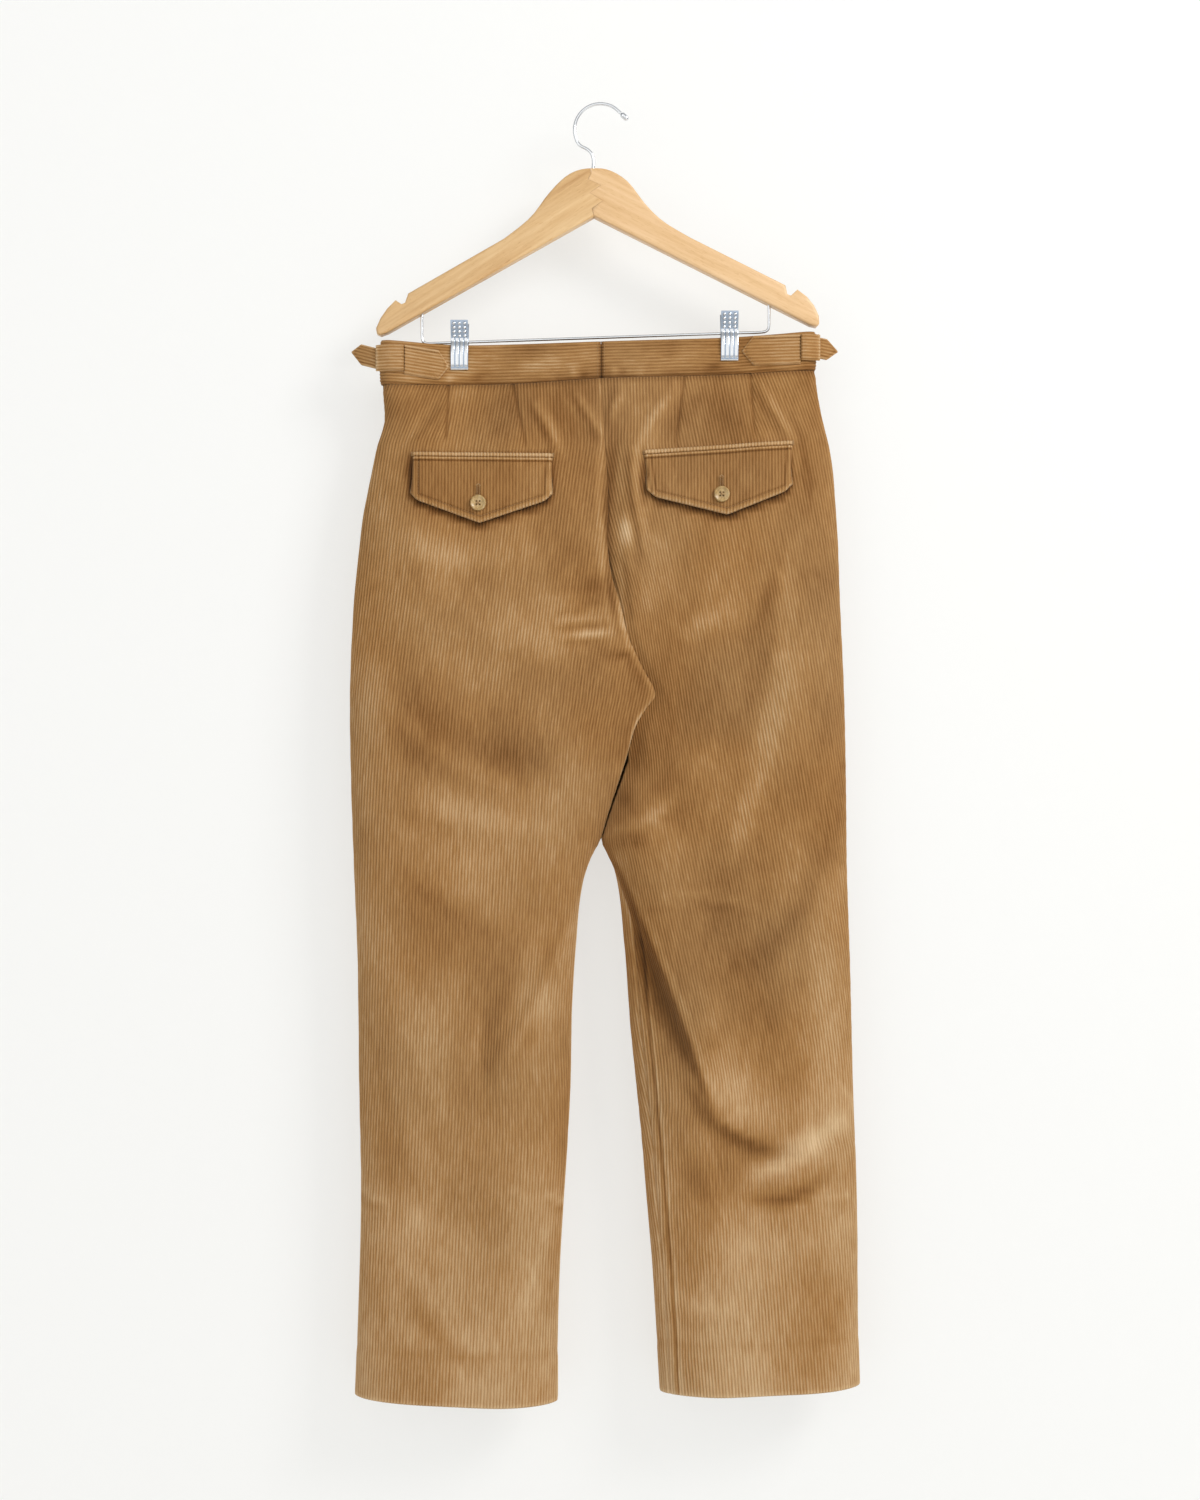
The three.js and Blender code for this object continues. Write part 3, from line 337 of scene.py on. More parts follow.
def catch_light(face, x, drop):
    """Painted light and shade on the folds: how a fold turns the brushed pile to the light, which comes from the upper
    right behind.
    """
    folds = (BACK_FOLDS + BACK_CREASES) if face == "back" else (FRONT_FOLDS + FRONT_CREASES)
    step = 1.5

    def height(at_x, at_drop):
        return fold_height(folds, at_x, at_drop) + ripple(at_x, at_drop)

    across = (height(x + step, drop) - height(x - step, drop)) / (2 * step)
    down = (height(x, drop + step) - height(x, drop - step)) / (2 * step)
    side = -1 if face == "back" else 1
    caught = np.tanh(2.2 * (0.75 * side * across + 0.8 * down))
    return np.where(caught > 0, caught, 0.6 * caught)


def on_panel(name, across, down):
    """Points on the outside of a panel. Past 1 across, it rolls on round the leg."""
    face, hand = name.split("_")
    other = ("front_" if face == "back" else "back_") + hand
    points = None
    for here, past in ((name, False), (other, True)):
        share = np.where(across > 1, 2 - across, np.abs(across))
        outer = meet(side_seam, here, down)
        inner = meet(inner_edge, here, down)
        x = mix(outer, inner, share)
        drop = row_drop(down, x)
        out = depth(here, x, drop, outer, inner)
        y = -out if here.startswith("back") else out
        mine = np.stack([x, y, -drop], axis=-1)
        if points is None:
            points = mine
            if across.max() <= 1:
                return points
        else:
            points = np.where((across > 1)[..., None], mine, points)
    return points


def outside_at(name, x, drop):
    """The outside of a panel at places on it, as distances from the middle plane."""
    down = (drop - waist_seam(x)) / (along(ACROSS_X, HEM, x) - waist_seam(x))
    return depth(name, x, drop, meet(side_seam, name, down), meet(inner_edge, name, down))


def closer_at_ends(count, pull=0.75):
    """Shares from 0 to 1 that stand closer together towards both ends."""
    a = np.linspace(0, 1, count)
    return mix(a, (1 - np.cos(np.pi * a)) / 2, pull)


def zip_rows(top, bottom, top_ids, bottom_ids, faces):
    """Triangles between two rows of vertices, each row in the order of its readings."""
    i = j = 0
    while i < len(top) - 1 or j < len(bottom) - 1:
        if j == len(bottom) - 1 or (i < len(top) - 1 and top[i + 1] <= bottom[j + 1]):
            faces.append((top_ids[i], bottom_ids[j], top_ids[i + 1]))
            i += 1
        else:
            faces.append((top_ids[i], bottom_ids[j], bottom_ids[j + 1]))
            j += 1


def lay_columns(layers, readings, step, start_at):
    """Takes each row's values at the columns, which lie at whole steps of the reading, and at its two ends."""
    rows = []
    for r in range(len(readings)):
        reading = readings[r]
        first = math.ceil(reading[0] / step + 0.3)
        last = math.floor(reading[-1] / step - 0.3)
        at = np.concatenate([[reading[0]], np.arange(first, last + 1) * step, [reading[-1]]])
        values = [np.interp(at, reading, layer[r]) for layer in layers]
        ids = np.arange(len(at)) + start_at
        start_at += len(at)
        rows.append({"first": first, "last": last, "at": at, "ids": ids, "values": values})
    return rows, start_at


def weave(rows, faces):
    """Quads between the columns that two neighbouring rows share, and triangles out to their ends."""
    for a, b in zip(rows, rows[1:]):
        first, last = max(a["first"], b["first"]), min(a["last"], b["last"])
        i, j = first - a["first"] + 1, first - b["first"] + 1
        n = last - first
        if n < 1:
            zip_rows(a["at"], b["at"], a["ids"], b["ids"], faces)
            continue
        up, down = a["ids"][i : i + n + 1], b["ids"][j : j + n + 1]
        faces.extend(zip(up[:-1], down[:-1], down[1:], up[1:]))
        zip_rows(a["at"][: i + 1], b["at"][: j + 1], a["ids"][: i + 1], b["ids"][: j + 1], faces)
        zip_rows(a["at"][i + n :], b["at"][j + n :], a["ids"][i + n :], b["ids"][j + n :], faces)


def cross_rows(grid):
    """The direction out of a grid of points, by its neighbours."""
    along_row = np.gradient(grid, axis=1)
    down_rows = np.gradient(grid, axis=0)
    out = np.cross(along_row, down_rows)
    return out / np.maximum(np.linalg.norm(out, axis=2, keepdims=True), 1e-9)


def new_mesh_object(name, points, faces, smooth=True):
    mesh = bpy.data.meshes.new(name)
    mesh.from_pydata(points, [], faces)
    piece = bpy.data.objects.new(name, mesh)
    bpy.context.scene.collection.objects.link(piece)
    mesh.polygons.foreach_set("use_smooth", [smooth] * len(mesh.polygons))
    return piece


def corded_shell(name, grid, reading, *, thick, facing, lift=0, dip=(0.5, 2.2), tone=0, rib=1):
    """A closed thin shell of corduroy over a grid of points in millimetres. Wales run along the columns, where
    the reading passes whole wales. The grid is its outside; lift moves it out, dip draws its edges in."""
    shape = reading.shape
    out = cross_rows(grid)
    if out[0, shape[1] // 2] @ np.array(facing, float) < 0:
        out = -out
    lift, tone, rib = (np.broadcast_to(np.asarray(v, float), shape) for v in (lift, tone, rib))
    edge = np.minimum(reading - reading[:, :1], reading[:, -1:] - reading)
    deep, broad = dip
    drawn = -deep * np.exp(-((edge / broad) ** 2))
    spacing = np.linalg.norm(np.diff(grid, axis=0), axis=2)
    length = np.vstack([np.zeros(shape[1]), np.cumsum(spacing, axis=0)])
    ribbed = rib * ease(0.4, 1.8, edge)
    layers = [*np.moveaxis(grid, 2, 0), *np.moveaxis(out, 2, 0), lift + drawn, ribbed, tone, length]
    step = WALE / PER_WALE
    outer, count = lay_columns(layers, reading, step, 0)
    inner, _ = lay_columns(layers, reading, WALE, count)

    faces = []
    weave(outer, faces)
    flipped = len(faces)
    weave(inner, faces)
    faces[flipped:] = [face[::-1] for face in faces[flipped:]]
    for end in (0, -1):
        for k in range(len(outer) - 1):
            quad = (outer[k]["ids"][end], outer[k + 1]["ids"][end], inner[k + 1]["ids"][end], inner[k]["ids"][end])
            faces.append(quad[::-1] if end == 0 else quad)
    for row, turn in ((0, False), (-1, True)):
        rim = []
        zip_rows(outer[row]["at"], inner[row]["at"], outer[row]["ids"], inner[row]["ids"], rim)
        faces.extend(face if turn else face[::-1] for face in rim)

    points, across, length_at, tone_at, side_of = [], [], [], [], []
    for rows, is_outer in ((outer, True), (inner, False)):
        for row in rows:
            x, y, z, nx, ny, nz, raised, height, shade, run = row["values"]
            if is_outer:
                column = np.arange(row["first"] - 1, row["last"] + 2)
                profile = RIB_PROFILE[column % PER_WALE] * height
                profile[[0, -1]] = 0
                off = raised + profile
            else:
                off = np.minimum(raised, 0) - thick
            points.append(np.stack([x + nx * off, y + ny * off, z + nz * off], axis=1))
            across.append(row["at"])
            length_at.append(run)
            tone_at.append(shade)
            side_of.append(np.full(len(x), 1.0 if is_outer else 0.0))
    points = np.concatenate(points) * MM
    faces = orient(points, faces)
    piece = new_mesh_object(name, points.tolist(), faces)
    for label, values in (
        ("wale_across", across),
        ("wale_along", length_at),
        ("tone", tone_at),
        ("outside", side_of),
    ):
        data = piece.data.attributes.new(label, "FLOAT", "POINT")
        data.data.foreach_set("value", np.concatenate(values).astype(np.float32))
    return piece


def orient(points, faces):
    """The faces of a closed mesh, turned so that they look outwards."""
    first = np.array([face[:3] for face in faces])
    a, b, c = (points[first[:, k]] for k in range(3))
    volume = np.einsum("ij,ij->i", a, np.cross(b, c)).sum()
    quads = np.array([(face[0], face[2], face[3]) for face in faces if len(face) == 4])
    if len(quads):
        a, b, c = (points[quads[:, k]] for k in range(3))
        volume += np.einsum("ij,ij->i", a, np.cross(b, c)).sum()
    faces = [tuple(int(v) for v in face) for face in faces]
    return faces if volume > 0 else [face[::-1] for face in faces]


# Where the brushed pile shows lighter or darker: painted sheen, with painted shade in fold hollows, beside the flaps
# and beside the crotch edge, and painted highlights on crests. Patches: place, reach across and down, amount. Streaks:
# the two ends and the middle of a line, its half breadth, amount.
NAP_SHEEN_AND_SHADE_PATCHES = {
    "back": [
        (-25, 370, 34, 76, -0.4), (-100, 305, 90, 30, -0.26), (110, 305, 90, 30, -0.06), (-190, 300, 40, 20, -0.2),
        (30, 430, 9, 16, 0.85), (24, 380, 8, 56, 0.5), (-2, 486, 16, 13, -0.35), (50, 490, 9, 26, 0.15),
        (-130, 560, 46, 36, 0.2), (-48, 536, 42, 26, 0.26), (-50, 500, 22, 14, 0.2), (-110, 738, 80, 50, 0.14), (-176, 740, 40, 60, 0.14), (-104, 1000, 40, 80, 0.12),
        (-135, 862, 24, 46, 0.14), (-52, 890, 14, 24, 0.3), (-234, 930, 18, 240, 0.26),
        (-160, 640, 26, 30, -0.14), (-60, 660, 40, 20, -0.1), (-150, 1120, 50, 60, 0.06), (-48, 1190, 14, 60, -0.16),
        (80, 620, 42, 70, -0.36), (40, 733, 22, 8, -0.35), (120, 470, 60, 44, 0.06),
        (148, 885, 48, 50, -0.36), (130, 985, 34, 40, 0.22), (205, 736, 16, 18, -0.22), (228, 880, 26, 120, 0.26),
        (110, 800, 74, 70, -0.26), (176, 1062, 26, 12, 0.26), (206, 1043, 26, 16, 0.36),
        (185, 1132, 42, 26, 0.24), (110, 1075, 24, 22, -0.16), (130, 1190, 60, 40, 0.06), (238, 1210, 16, 40, -0.16),
    ],
    "front": [
        (-120, 600, 90, 70, -0.2), (-140, 760, 80, 70, 0.2), (-60, 900, 50, 90, 0.16),
        (130, 620, 90, 60, 0.18), (150, 780, 80, 80, -0.16), (200, 950, 50, 120, 0.16),
        (-150, 1080, 80, 40, -0.16), (180, 1090, 70, 40, -0.16), (-140, 1200, 80, 60, 0.1),
        (150, 1210, 80, 60, 0.12),
    ],
}
NAP_SHEEN_AND_SHADE_STREAKS = {
    "back": [
        ((-190, 428), (-142, 452), (-84, 446), 15, 0.36), ((-222, 510), (-120, 648), (-6, 604), 22, -0.3),
        ((-234, 590), (-186, 668), (-120, 716), 15, 0.16), ((-196, 750), (-150, 800), (-84, 832), 8, -0.18),
        ((-74, 800), (-92, 880), (-122, 984), 7, -0.1), ((-52, 800), (-72, 890), (-96, 990), 10, 0.3),
        ((-190, 930), (-172, 990), (-150, 1052), 10, -0.2), ((-190, 1160), (-156, 1222), (-100, 1250), 8, -0.32),
        ((-36, 1040), (-50, 1130), (-80, 1210), 7, 0.2), ((24, 322), (12, 396), (13, 452), 4.5, -0.5),
        ((10, 440), (15, 486), (22, 530), 4, -0.4), ((24, 436), (25, 480), (29, 526), 4, 0.4),
        ((-26, 527), (0, 530), (24, 526), 4.5, 0.45), ((-10, 508), (8, 512), (24, 518), 4, 0.3),
        ((-14, 540), (14, 546), (36, 548), 5, -0.3), ((78, 288), (52, 318), (39, 350), 4.5, 0.4),
        ((49, 350), (46, 376), (49, 406), 4, -0.7), ((112, 284), (88, 306), (62, 340), 8, -0.25),
        ((-34, 290), (-20, 308), (-6, 326), 4, 0.35), ((26, 288), (18, 304), (12, 320), 4, 0.35),
        ((-150, 286), (-176, 316), (-196, 352), 5, 0.25), ((-56, 290), (-44, 318), (-36, 344), 4, 0.2),
        ((190, 300), (208, 356), (210, 420), 5, -0.3), ((192, 420), (188, 490), (182, 560), 10, 0.28),
        ((184, 540), (166, 650), (122, 766), 14, 0.48),
        ((160, 440), (172, 540), (120, 660), 12, -0.16), ((78, 530), (112, 516), (156, 496), 12, 0.4),
        ((140, 560), (176, 480), (196, 410), 7, -0.2), ((250, 640), (214, 780), (136, 866), 14, -0.36),
        ((36, 724), (70, 696), (112, 650), 8, 0.26), ((24, 790), (58, 884), (96, 968), 10, -0.55),
        ((100, 990), (138, 1026), (192, 1044), 8, -0.2), ((16, 736), (68, 852), (120, 992), 4, 0.3),
        ((268, 1002), (204, 1034), (140, 1078), 14, 0.6), ((146, 1083), (190, 1087), (240, 1052), 8, -0.5),
        ((80, 1010), (96, 1066), (140, 1098), 10, -0.2), ((42, 612), (36, 660), (20, 718), 9, -0.3),
        ((14, 543), (36, 558), (50, 596), 5, -0.35), ((-41, 350), (-43, 376), (-45, 402), 4, -0.4),
    ],
    "front": [
        ((-210, 700), (-150, 760), (-60, 740), 24, -0.26), ((-200, 640), (-130, 690), (-40, 660), 18, 0.22),
        ((40, 690), (120, 730), (220, 700), 24, 0.22), ((60, 740), (130, 790), (230, 770), 20, -0.24),
        ((-200, 1030), (-140, 1060), (-80, 1060), 14, 0.4), ((-200, 1064), (-140, 1090), (-80, 1088), 10, -0.3),
        ((110, 1040), (170, 1070), (240, 1068), 14, 0.4), ((110, 1074), (170, 1100), (240, 1096), 10, -0.3),
    ],
}


# Sums the painted sheen, shade and highlights of the tables above.
def nap_sheen_and_shade(face, x, drop):
    total = np.zeros(np.shape(x))
    for at_x, at_drop, reach_x, reach_drop, amount in NAP_SHEEN_AND_SHADE_PATCHES[face]:
        total += amount * np.exp(-(((x - at_x) / reach_x) ** 2) - ((drop - at_drop) / reach_drop) ** 2)
    streaks = [(start, over, stop, half, half, amount) for start, over, stop, half, amount in NAP_SHEEN_AND_SHADE_STREAKS[face]]
    return total + fold_height(streaks, x, drop)


def bell(at, middle, half):
    return np.exp(-(((at - middle) / half) ** 2))


HEM_TURN = 50  # height of the turned hem, whose inner edge shows through as a faint line


def panel_shell(name):
    face, hand = name.split("_")
    side = -1 if hand == "left" else 1
    drops = np.arange(FIRST_DROP, LAST_DROP - ROW_STEP / 2, ROW_STEP)
    if name == "back_left":
        first, last, _ = EDGE_ROWS
        drops = np.concatenate([drops[drops < first - 1], np.arange(*EDGE_ROWS), drops[drops > last]])
    down = np.append((drops - FIRST_DROP) / (LAST_DROP - FIRST_DROP), [0.9985, 1])[:, None]
    down[0] = 0.15 / (LAST_DROP - FIRST_DROP)
    nominal = mix(FIRST_DROP, LAST_DROP, down)
    breadth = np.abs(meet(inner_edge, name, down) - meet(side_seam, name, down))
    roll = ROLL_BREADTH * ease(ROLL_STARTS, ROLL_ENDS, nominal) / breadth if side > 0 else 0
    end = 1 - roll if face == "back" else 1 + roll
    grid = on_panel(name, end * closer_at_ends(420)[None, :] + 0 * down, down + np.zeros((1, 420)))
    grid[..., 1] += -0.15 if face == "back" else 0.15
    x, drop = grid[..., 0], -grid[..., 2]

    run = np.linalg.norm(np.diff(grid, axis=1), axis=2)
    arc = np.hstack([np.zeros((len(grid), 1)), np.cumsum(run, axis=1)])

    def arc_at(place_x):
        order = slice(None) if side < 0 else slice(None, None, -1)
        return np.array([np.interp(p, xs[order], s[order]) for p, xs, s in zip(place_x, x, arc)])

    reference = arc_at(np.full(len(grid), GRAIN_X[name]))[:, None]
    reading = arc - reference
    lift, rib = np.zeros(x.shape), np.ones(x.shape)
    # The tone is painted light and shade: the brushed pile's painted sheen, painted shade and highlights, the folds'
    # painted light, and lighter towards the hem.
    tone = nap_sheen_and_shade(face, x, drop) + 0.6 * catch_light(face, x, drop) + 0.34 * ease(930, 1230, drop)
    for (top_x, top), (tip_x, tip), amount in DARTS[name]:
        share = np.clip((drop[:, 210] - top) / (tip - top), 0, 1)
        line = arc_at(mix(top_x, tip_x, share))[:, None]
        taken = (amount * (1 - share))[:, None]
        reading += taken * (ease(-DART_HALF, DART_HALF, arc - line) - (line < reference))
        # The dart's line sinks and is painted darker, as painted shade in its groove.
        showing = bell(arc, line, 1.6) * ease(0, 0.06, 1 - share)[:, None]
        lift -= 0.8 * showing
        tone -= 0.35 * showing
        rib = np.where(np.abs(arc - line) < DART_HALF + 0.4, 0, rib)
    reading += along(RUN_DROP, WALE_RUN[name], drop)
    to_centre = arc[:, -1:] - arc
    if name in LEANS:
        leaning_drops, lean_breadth, lean = LEANS[name]
        leaning = ease(*leaning_drops, drop) * (1 - ease(APEX_DROP - 60, APEX_DROP + 90, drop))
        reading += lean * leaning * bell(to_centre, 0, lean_breadth)
    if face == "back":
        # Painted shadow beside and below the flap.
        tone = tone - 1.3 * flap_shade(POCKETS[hand], x, drop)
    for start, over, stop, amount, reach in TUCKS[name]:
        far, share, which = crest_reading((start, over, stop), x, drop)
        outside_crest = (which > 0) == (side > 0)
        reading += amount * np.sin(np.pi * share) * np.where(outside_crest, np.exp(-far / reach), 1)
    reading = np.maximum.accumulate(reading + 1e-4 * np.arange(reading.shape[1]), axis=1)

    to_hem = along(ACROSS_X, HEM, x) - drop
    # At the hem turn's faint line the cloth sinks and is painted a little darker, as painted shade; the hem's edge is
    # lighter.
    lift = lift - 0.35 * bell(to_hem, HEM_TURN, 1.6) + 0.25 * ease(HEM_TURN + 2, HEM_TURN - 4, to_hem)
    tone = tone - 0.08 * bell(to_hem, HEM_TURN, 2.4) + 0.3 * bell(to_hem, 0, 3)
    at_waist = drop - waist_seam(x)
    lift = lift - 0.6 * bell(at_waist, 0, 2.5) - 0.5 * bell(to_hem, 0, 1)
    # Painted shade along the waist seam, under the band.
    tone = tone - 0.3 * bell(at_waist, 0, 4)
    edge = np.minimum(arc, arc[:, -1:] - arc)
    # A painted highlight along the panel's edges, where the cloth turns.
    tone = tone + 0.22 * bell(edge, 2.4, 2)
    if name == "back_left":
        lapping = ease(470, 520, drop) * (1 - ease(700, 735, drop))
        lift = lift - 2.4 * lapping * bell(to_centre, 0, 2.6)
        # A painted highlight on the lapping edge by the crotch.
        tone = tone + 0.9 * bell(to_centre, 0.8, 1.8) * ease(585, 625, drop)
        rib = rib * mix(1, ease(1.5, 5, to_centre), lapping)
    if name == "back_right":
        # The right seat is painted a little darker, as painted shade against the key light from the right. Beside the
        # inseam the cloth sinks, with painted shade in the groove and a painted highlight just beyond.
        tone = tone - 0.12 * ease(800, 600, drop)
        beside = ease(ROLL_STARTS, ROLL_ENDS + 40, drop)
        lift, tone = lift - 0.6 * beside * bell(to_centre, 9, 1.4), tone - 0.5 * beside * bell(to_centre, 9, 1.6)
        tone = tone + 0.25 * beside * bell(to_centre, 13, 2)
    piece = corded_shell(name + "_cloth", grid, reading, thick=SHELL, facing=(0, -1 if face == "back" else 1, 0),
                         lift=lift, tone=tone, rib=rib)
    return piece


# Waistband and side adjusters
BAND_PROUD, BAND_CLOTH, BAND_LAP, LAY_GAP, GAP = 0.5, 2.4, 34, 0.7, 0.3
STRIP_HALF, STRIP_THICK, TAIL_HALF, TAIL_THICK = 14.8, 2.2, 10.4, 2
LEAVES_BAND, LEAVES_SLOPE, TIP_HALF = 8, 0.3, 0.6
LOOP_HEIGHTS = [-13, -13, -11.8, 0, 11.8, 13, 13]
LOOP_OUTS = [0.4, 3.2, 4.7, 5, 4.7, 3.2, 0.4]
ADJUSTERS = {
    "left": dict(side=-1, point=146.8, shoulder=157, join=191, loop_end=219.5, tail_shoulder=235, tip=245,
                 strip_middle=255, strip_fall=0.15, loop_middle=253.5, tail_fall=-0.3),
    "right": dict(side=1, point=145.5, shoulder=157, join=204, loop_end=223.5, tail_shoulder=231, tip=242,
                  strip_middle=245, strip_fall=0.02, loop_middle=243, tail_fall=0.15),
}
# Puckers in the band, as (x, share of its height, half breadth, half height, amount).
BAND_PUCKERS = [
    (-146, 0.86, 5, 0.1, 0.9), (-154, 0.72, 9, 0.12, -0.6), (-118, 0.8, 7, 0.12, -0.5), (-60, 0.55, 16, 0.2, 0.5),
    (-22, 0.8, 4, 0.16, 0.7), (-12, 0.9, 3, 0.1, -0.6), (18, 0.84, 3, 0.13, 0.7), (27, 0.9, 3, 0.1, -0.5),
    (44, 0.9, 5, 0.12, 0.5), (70, 0.4, 14, 0.3, -0.4), (118, 0.8, 6, 0.14, -0.5), (150, 0.9, 10, 0.08, 0.5),
    (-190, 0.9, 12, 0.1, 0.4), (196, 0.9, 12, 0.1, 0.4),
]


def band_end(side):
    return SIDE_SEAM["left" if side < 0 else "right"][0] + side * BAND_PROUD


def band_depth(side, x):
    rounding = quarter_round(np.abs(band_end(side) - x), WAIST_ROUNDING, 0.5)
    return (along(WAIST_X, WAIST_DEPTH, x) + BAND_PROUD) * rounding


def band_shell(hand, side):
    end = band_end(side)
    stations = np.linspace(-1, 1, 261)
    share = np.abs(stations) ** 1.8
    back = CENTRE_BACK[0] + side * GAP / 2
    front = CENTRE_FRONT[0] + (BAND_LAP if side < 0 else GAP / 2)
    is_front = stations > 0
    x = np.where(is_front, mix(end, front, share), mix(end, back, share))
    lap = (BAND_CLOTH + LAY_GAP) * ease(-BAND_LAP, 0, x) * (is_front & (side < 0))
    y = np.where(is_front, 1, -1) * (band_depth(side, x) + lap)
    height_share = closer_at_ends(70, 0.5)
    top, foot = along(ACROSS_X, BAND_TOP, x), waist_seam(x) - GAP / 2
    drop = mix(top[:, None], foot[:, None], height_share[None, :])
    wide = np.ones_like(drop)
    grid = np.stack([x[:, None] * wide, y[:, None] * wide, -drop], axis=2)
    waver = 0.7 * np.sin(x[:, None] / 31) + 0.4 * np.sin(x[:, None] / 13 + 1)
    reading = drop - top[:, None] + waver * np.sin(np.pi * height_share)[None, :]
    lift = 0.7 * np.sin(np.pi * height_share)[None, :] * wide
    for at_x, at_share, half, half_share, amount in BAND_PUCKERS:
        pucker = amount * bell(x[:, None], at_x, half) * bell(height_share[None, :], at_share, half_share)
        lift = lift + np.where(is_front[:, None], 0.6 * pucker, pucker)
    from_end = np.cumsum(np.hypot(np.diff(x, prepend=x[0]), np.diff(y, prepend=y[0])))
    ends = bell(from_end, 0, 2) + bell(from_end[-1] - from_end, 0, 2)
    lift = lift - 0.7 * ends[:, None]
    # The band's tone: lighter along its top edge, painted highlights on raised puckers, painted shade at its foot and
    # at its ends, a random waver, and the right half painted darker as painted shade against the key light.
    tone = 0.02 + 0.2 * bell(drop - top[:, None], 0, 3) - 0.3 * bell(foot[:, None] - drop, 0, 2)
    tone = tone - 0.3 * ends[:, None] + 0.1 * np.sin(x[:, None] / 17 + drop / 9) + 0.5 * (lift - 0.5)
    tone = tone - (0.15 if side > 0 else 0)
    return corded_shell(f"waistband_{hand}_cloth", grid, reading, thick=BAND_CLOTH - 0.4, facing=(0, -1, 0),
                        lift=lift, dip=(0.9, 2), tone=tone)


def on_adjuster(side, distance, drop, out):
    """A place on the back of the band, or on the line that leaves it beyond, stood out by some distance."""
    leaves = abs(band_end(side)) - LEAVES_BAND
    on = band_depth(side, side * np.minimum(distance, leaves))
    beyond = np.maximum(0, distance - leaves) * LEAVES_SLOPE
    return np.stack(np.broadcast_arrays(side * distance, -(on + out - beyond), -drop), axis=-1)


def strap_shell(name, side, start, shoulder, tip, half, thick, middle):
    """A flat strap with a stitched edge and a pointed end."""
    length = abs(tip - start)
    distance = np.linspace(start, tip, round(length / 1.1))[:, None]
    to_point = np.clip(np.abs(tip - distance) / abs(tip - shoulder), 0, 1)
    reach = mix(TIP_HALF, half, to_point)
    height = reach * np.linspace(-1, 1, 60)[None, :]
    grid = on_adjuster(side, distance + 0 * height, middle(distance) + height, GAP + thick)
    inside = np.minimum(reach - np.abs(height), np.minimum(np.abs(tip - distance), 9) * 0.8)
    lift = -0.45 * bell(inside, 3, 0.7) + 0.2 * bell(inside, 1.4, 0.9) - 0.7 * bell(inside, 0, 0.9)
    # The stitch line is painted darker, as painted shade in its groove; the rolled edge is lighter.
    tone = 0.12 - 0.25 * bell(inside, 3, 0.8) + 0.3 * bell(inside, 0.6, 1.2)
    return corded_shell(name, grid, height + 0.6 * WALE, thick=thick - 0.2, facing=(0, -1, 0),
                        lift=lift, dip=(0.4, 1), tone=tone)


def adjuster_shells(hand, a):
    side = a["side"]
    strip = strap_shell(
        f"adjuster_strip_{hand}_cloth", side, a["join"] - GAP, a["shoulder"], a["point"], STRIP_HALF, STRIP_THICK,
        lambda d: a["strip_middle"] + a["strip_fall"] * (a["join"] - d),
    )
    tail = strap_shell(
        f"adjuster_tail_{hand}_cloth", side, a["join"] + 1, a["tail_shoulder"], a["tip"], TAIL_HALF, TAIL_THICK,
        lambda d: a["loop_middle"] + a["tail_fall"] * np.maximum(0, d - a["loop_end"]),
    )
    share = np.linspace(0, 1, 80)
    knots = np.linspace(0, 1, len(LOOP_HEIGHTS))
    heights, outs = np.interp(share, knots, LOOP_HEIGHTS), np.interp(share, knots, LOOP_OUTS)
    distance = np.linspace(a["join"], a["loop_end"], 26)[:, None]
    grid = on_adjuster(side, distance + 0 * heights, a["loop_middle"] + heights[None, :], outs[None, :])
    reading = np.cumsum(np.hypot(np.diff(heights, prepend=-13), np.diff(outs, prepend=LOOP_OUTS[0])))[None, :]
    from_end = np.minimum(distance - a["join"], a["loop_end"] - distance)
    lift = -0.7 * bell(from_end, 0, 1) - 0.3 * bell(from_end, 3, 0.8) + 0 * reading
    # Painted shade where the loop meets the strip, and a painted highlight on its folded end.
    tone = 0.18 - 0.22 * bell(distance - a["join"], 0, 1.6) + 0.45 * bell(a["loop_end"] - distance, 0, 2.4)
    loop = corded_shell(f"adjuster_loop_{hand}_cloth", grid, reading + 0 * distance, thick=1.6, facing=(0, -1, 0),
                        lift=lift, dip=(0.2, 1), tone=tone + 0 * reading)
    return strip, loop, tail


# Back pockets
POCKETS = {
    "left": dict(start=(-182, 348.4), stop=(-43, 350), corner=(-182, 394.5), point=(-115, 419.5), far=(-46, 396),
                 button=(-116.2, 400.2)),
    "right": dict(start=(48, 347), stop=(195, 337), corner=(54.5, 392.5), point=(130, 411), far=(192, 386),
                  button=(124.2, 391.3)),
}
WELT_HEIGHT, WELT_THICK, FLAP_LIFT, FLAP_THICK = 4.6, 2.4, 2.2, 2.8
CORNER_BREADTH, CORNER_HEIGHT = 8, 6
TOPSTITCH_IN = 6
BUTTON_RADIUS = 7.8


def on_line(start, stop, share):
    return mix(start[0], stop[0], share), mix(start[1], stop[1], share)


def flap_edge(pocket, share):
    """The flap's lower edge, from its rounded corner to the point and on to the far corner."""
    corner, point, far = pocket["corner"], pocket["point"], pocket["far"]
    half = (point[0] - corner[0]) / (far[0] - corner[0])
    before = on_line(corner, point, np.clip(share / half, 0, 1))
    after = on_line(point, far, np.clip((share - half) / (1 - half), 0, 1))
    x, drop = (np.where(share < half, a, b) for a, b in zip(before, after))
    nearest = np.minimum(np.abs(x - corner[0]), np.abs(far[0] - x))
    return x, drop - CORNER_HEIGHT * (1 - quarter_round(nearest, CORNER_BREADTH, 0.5))


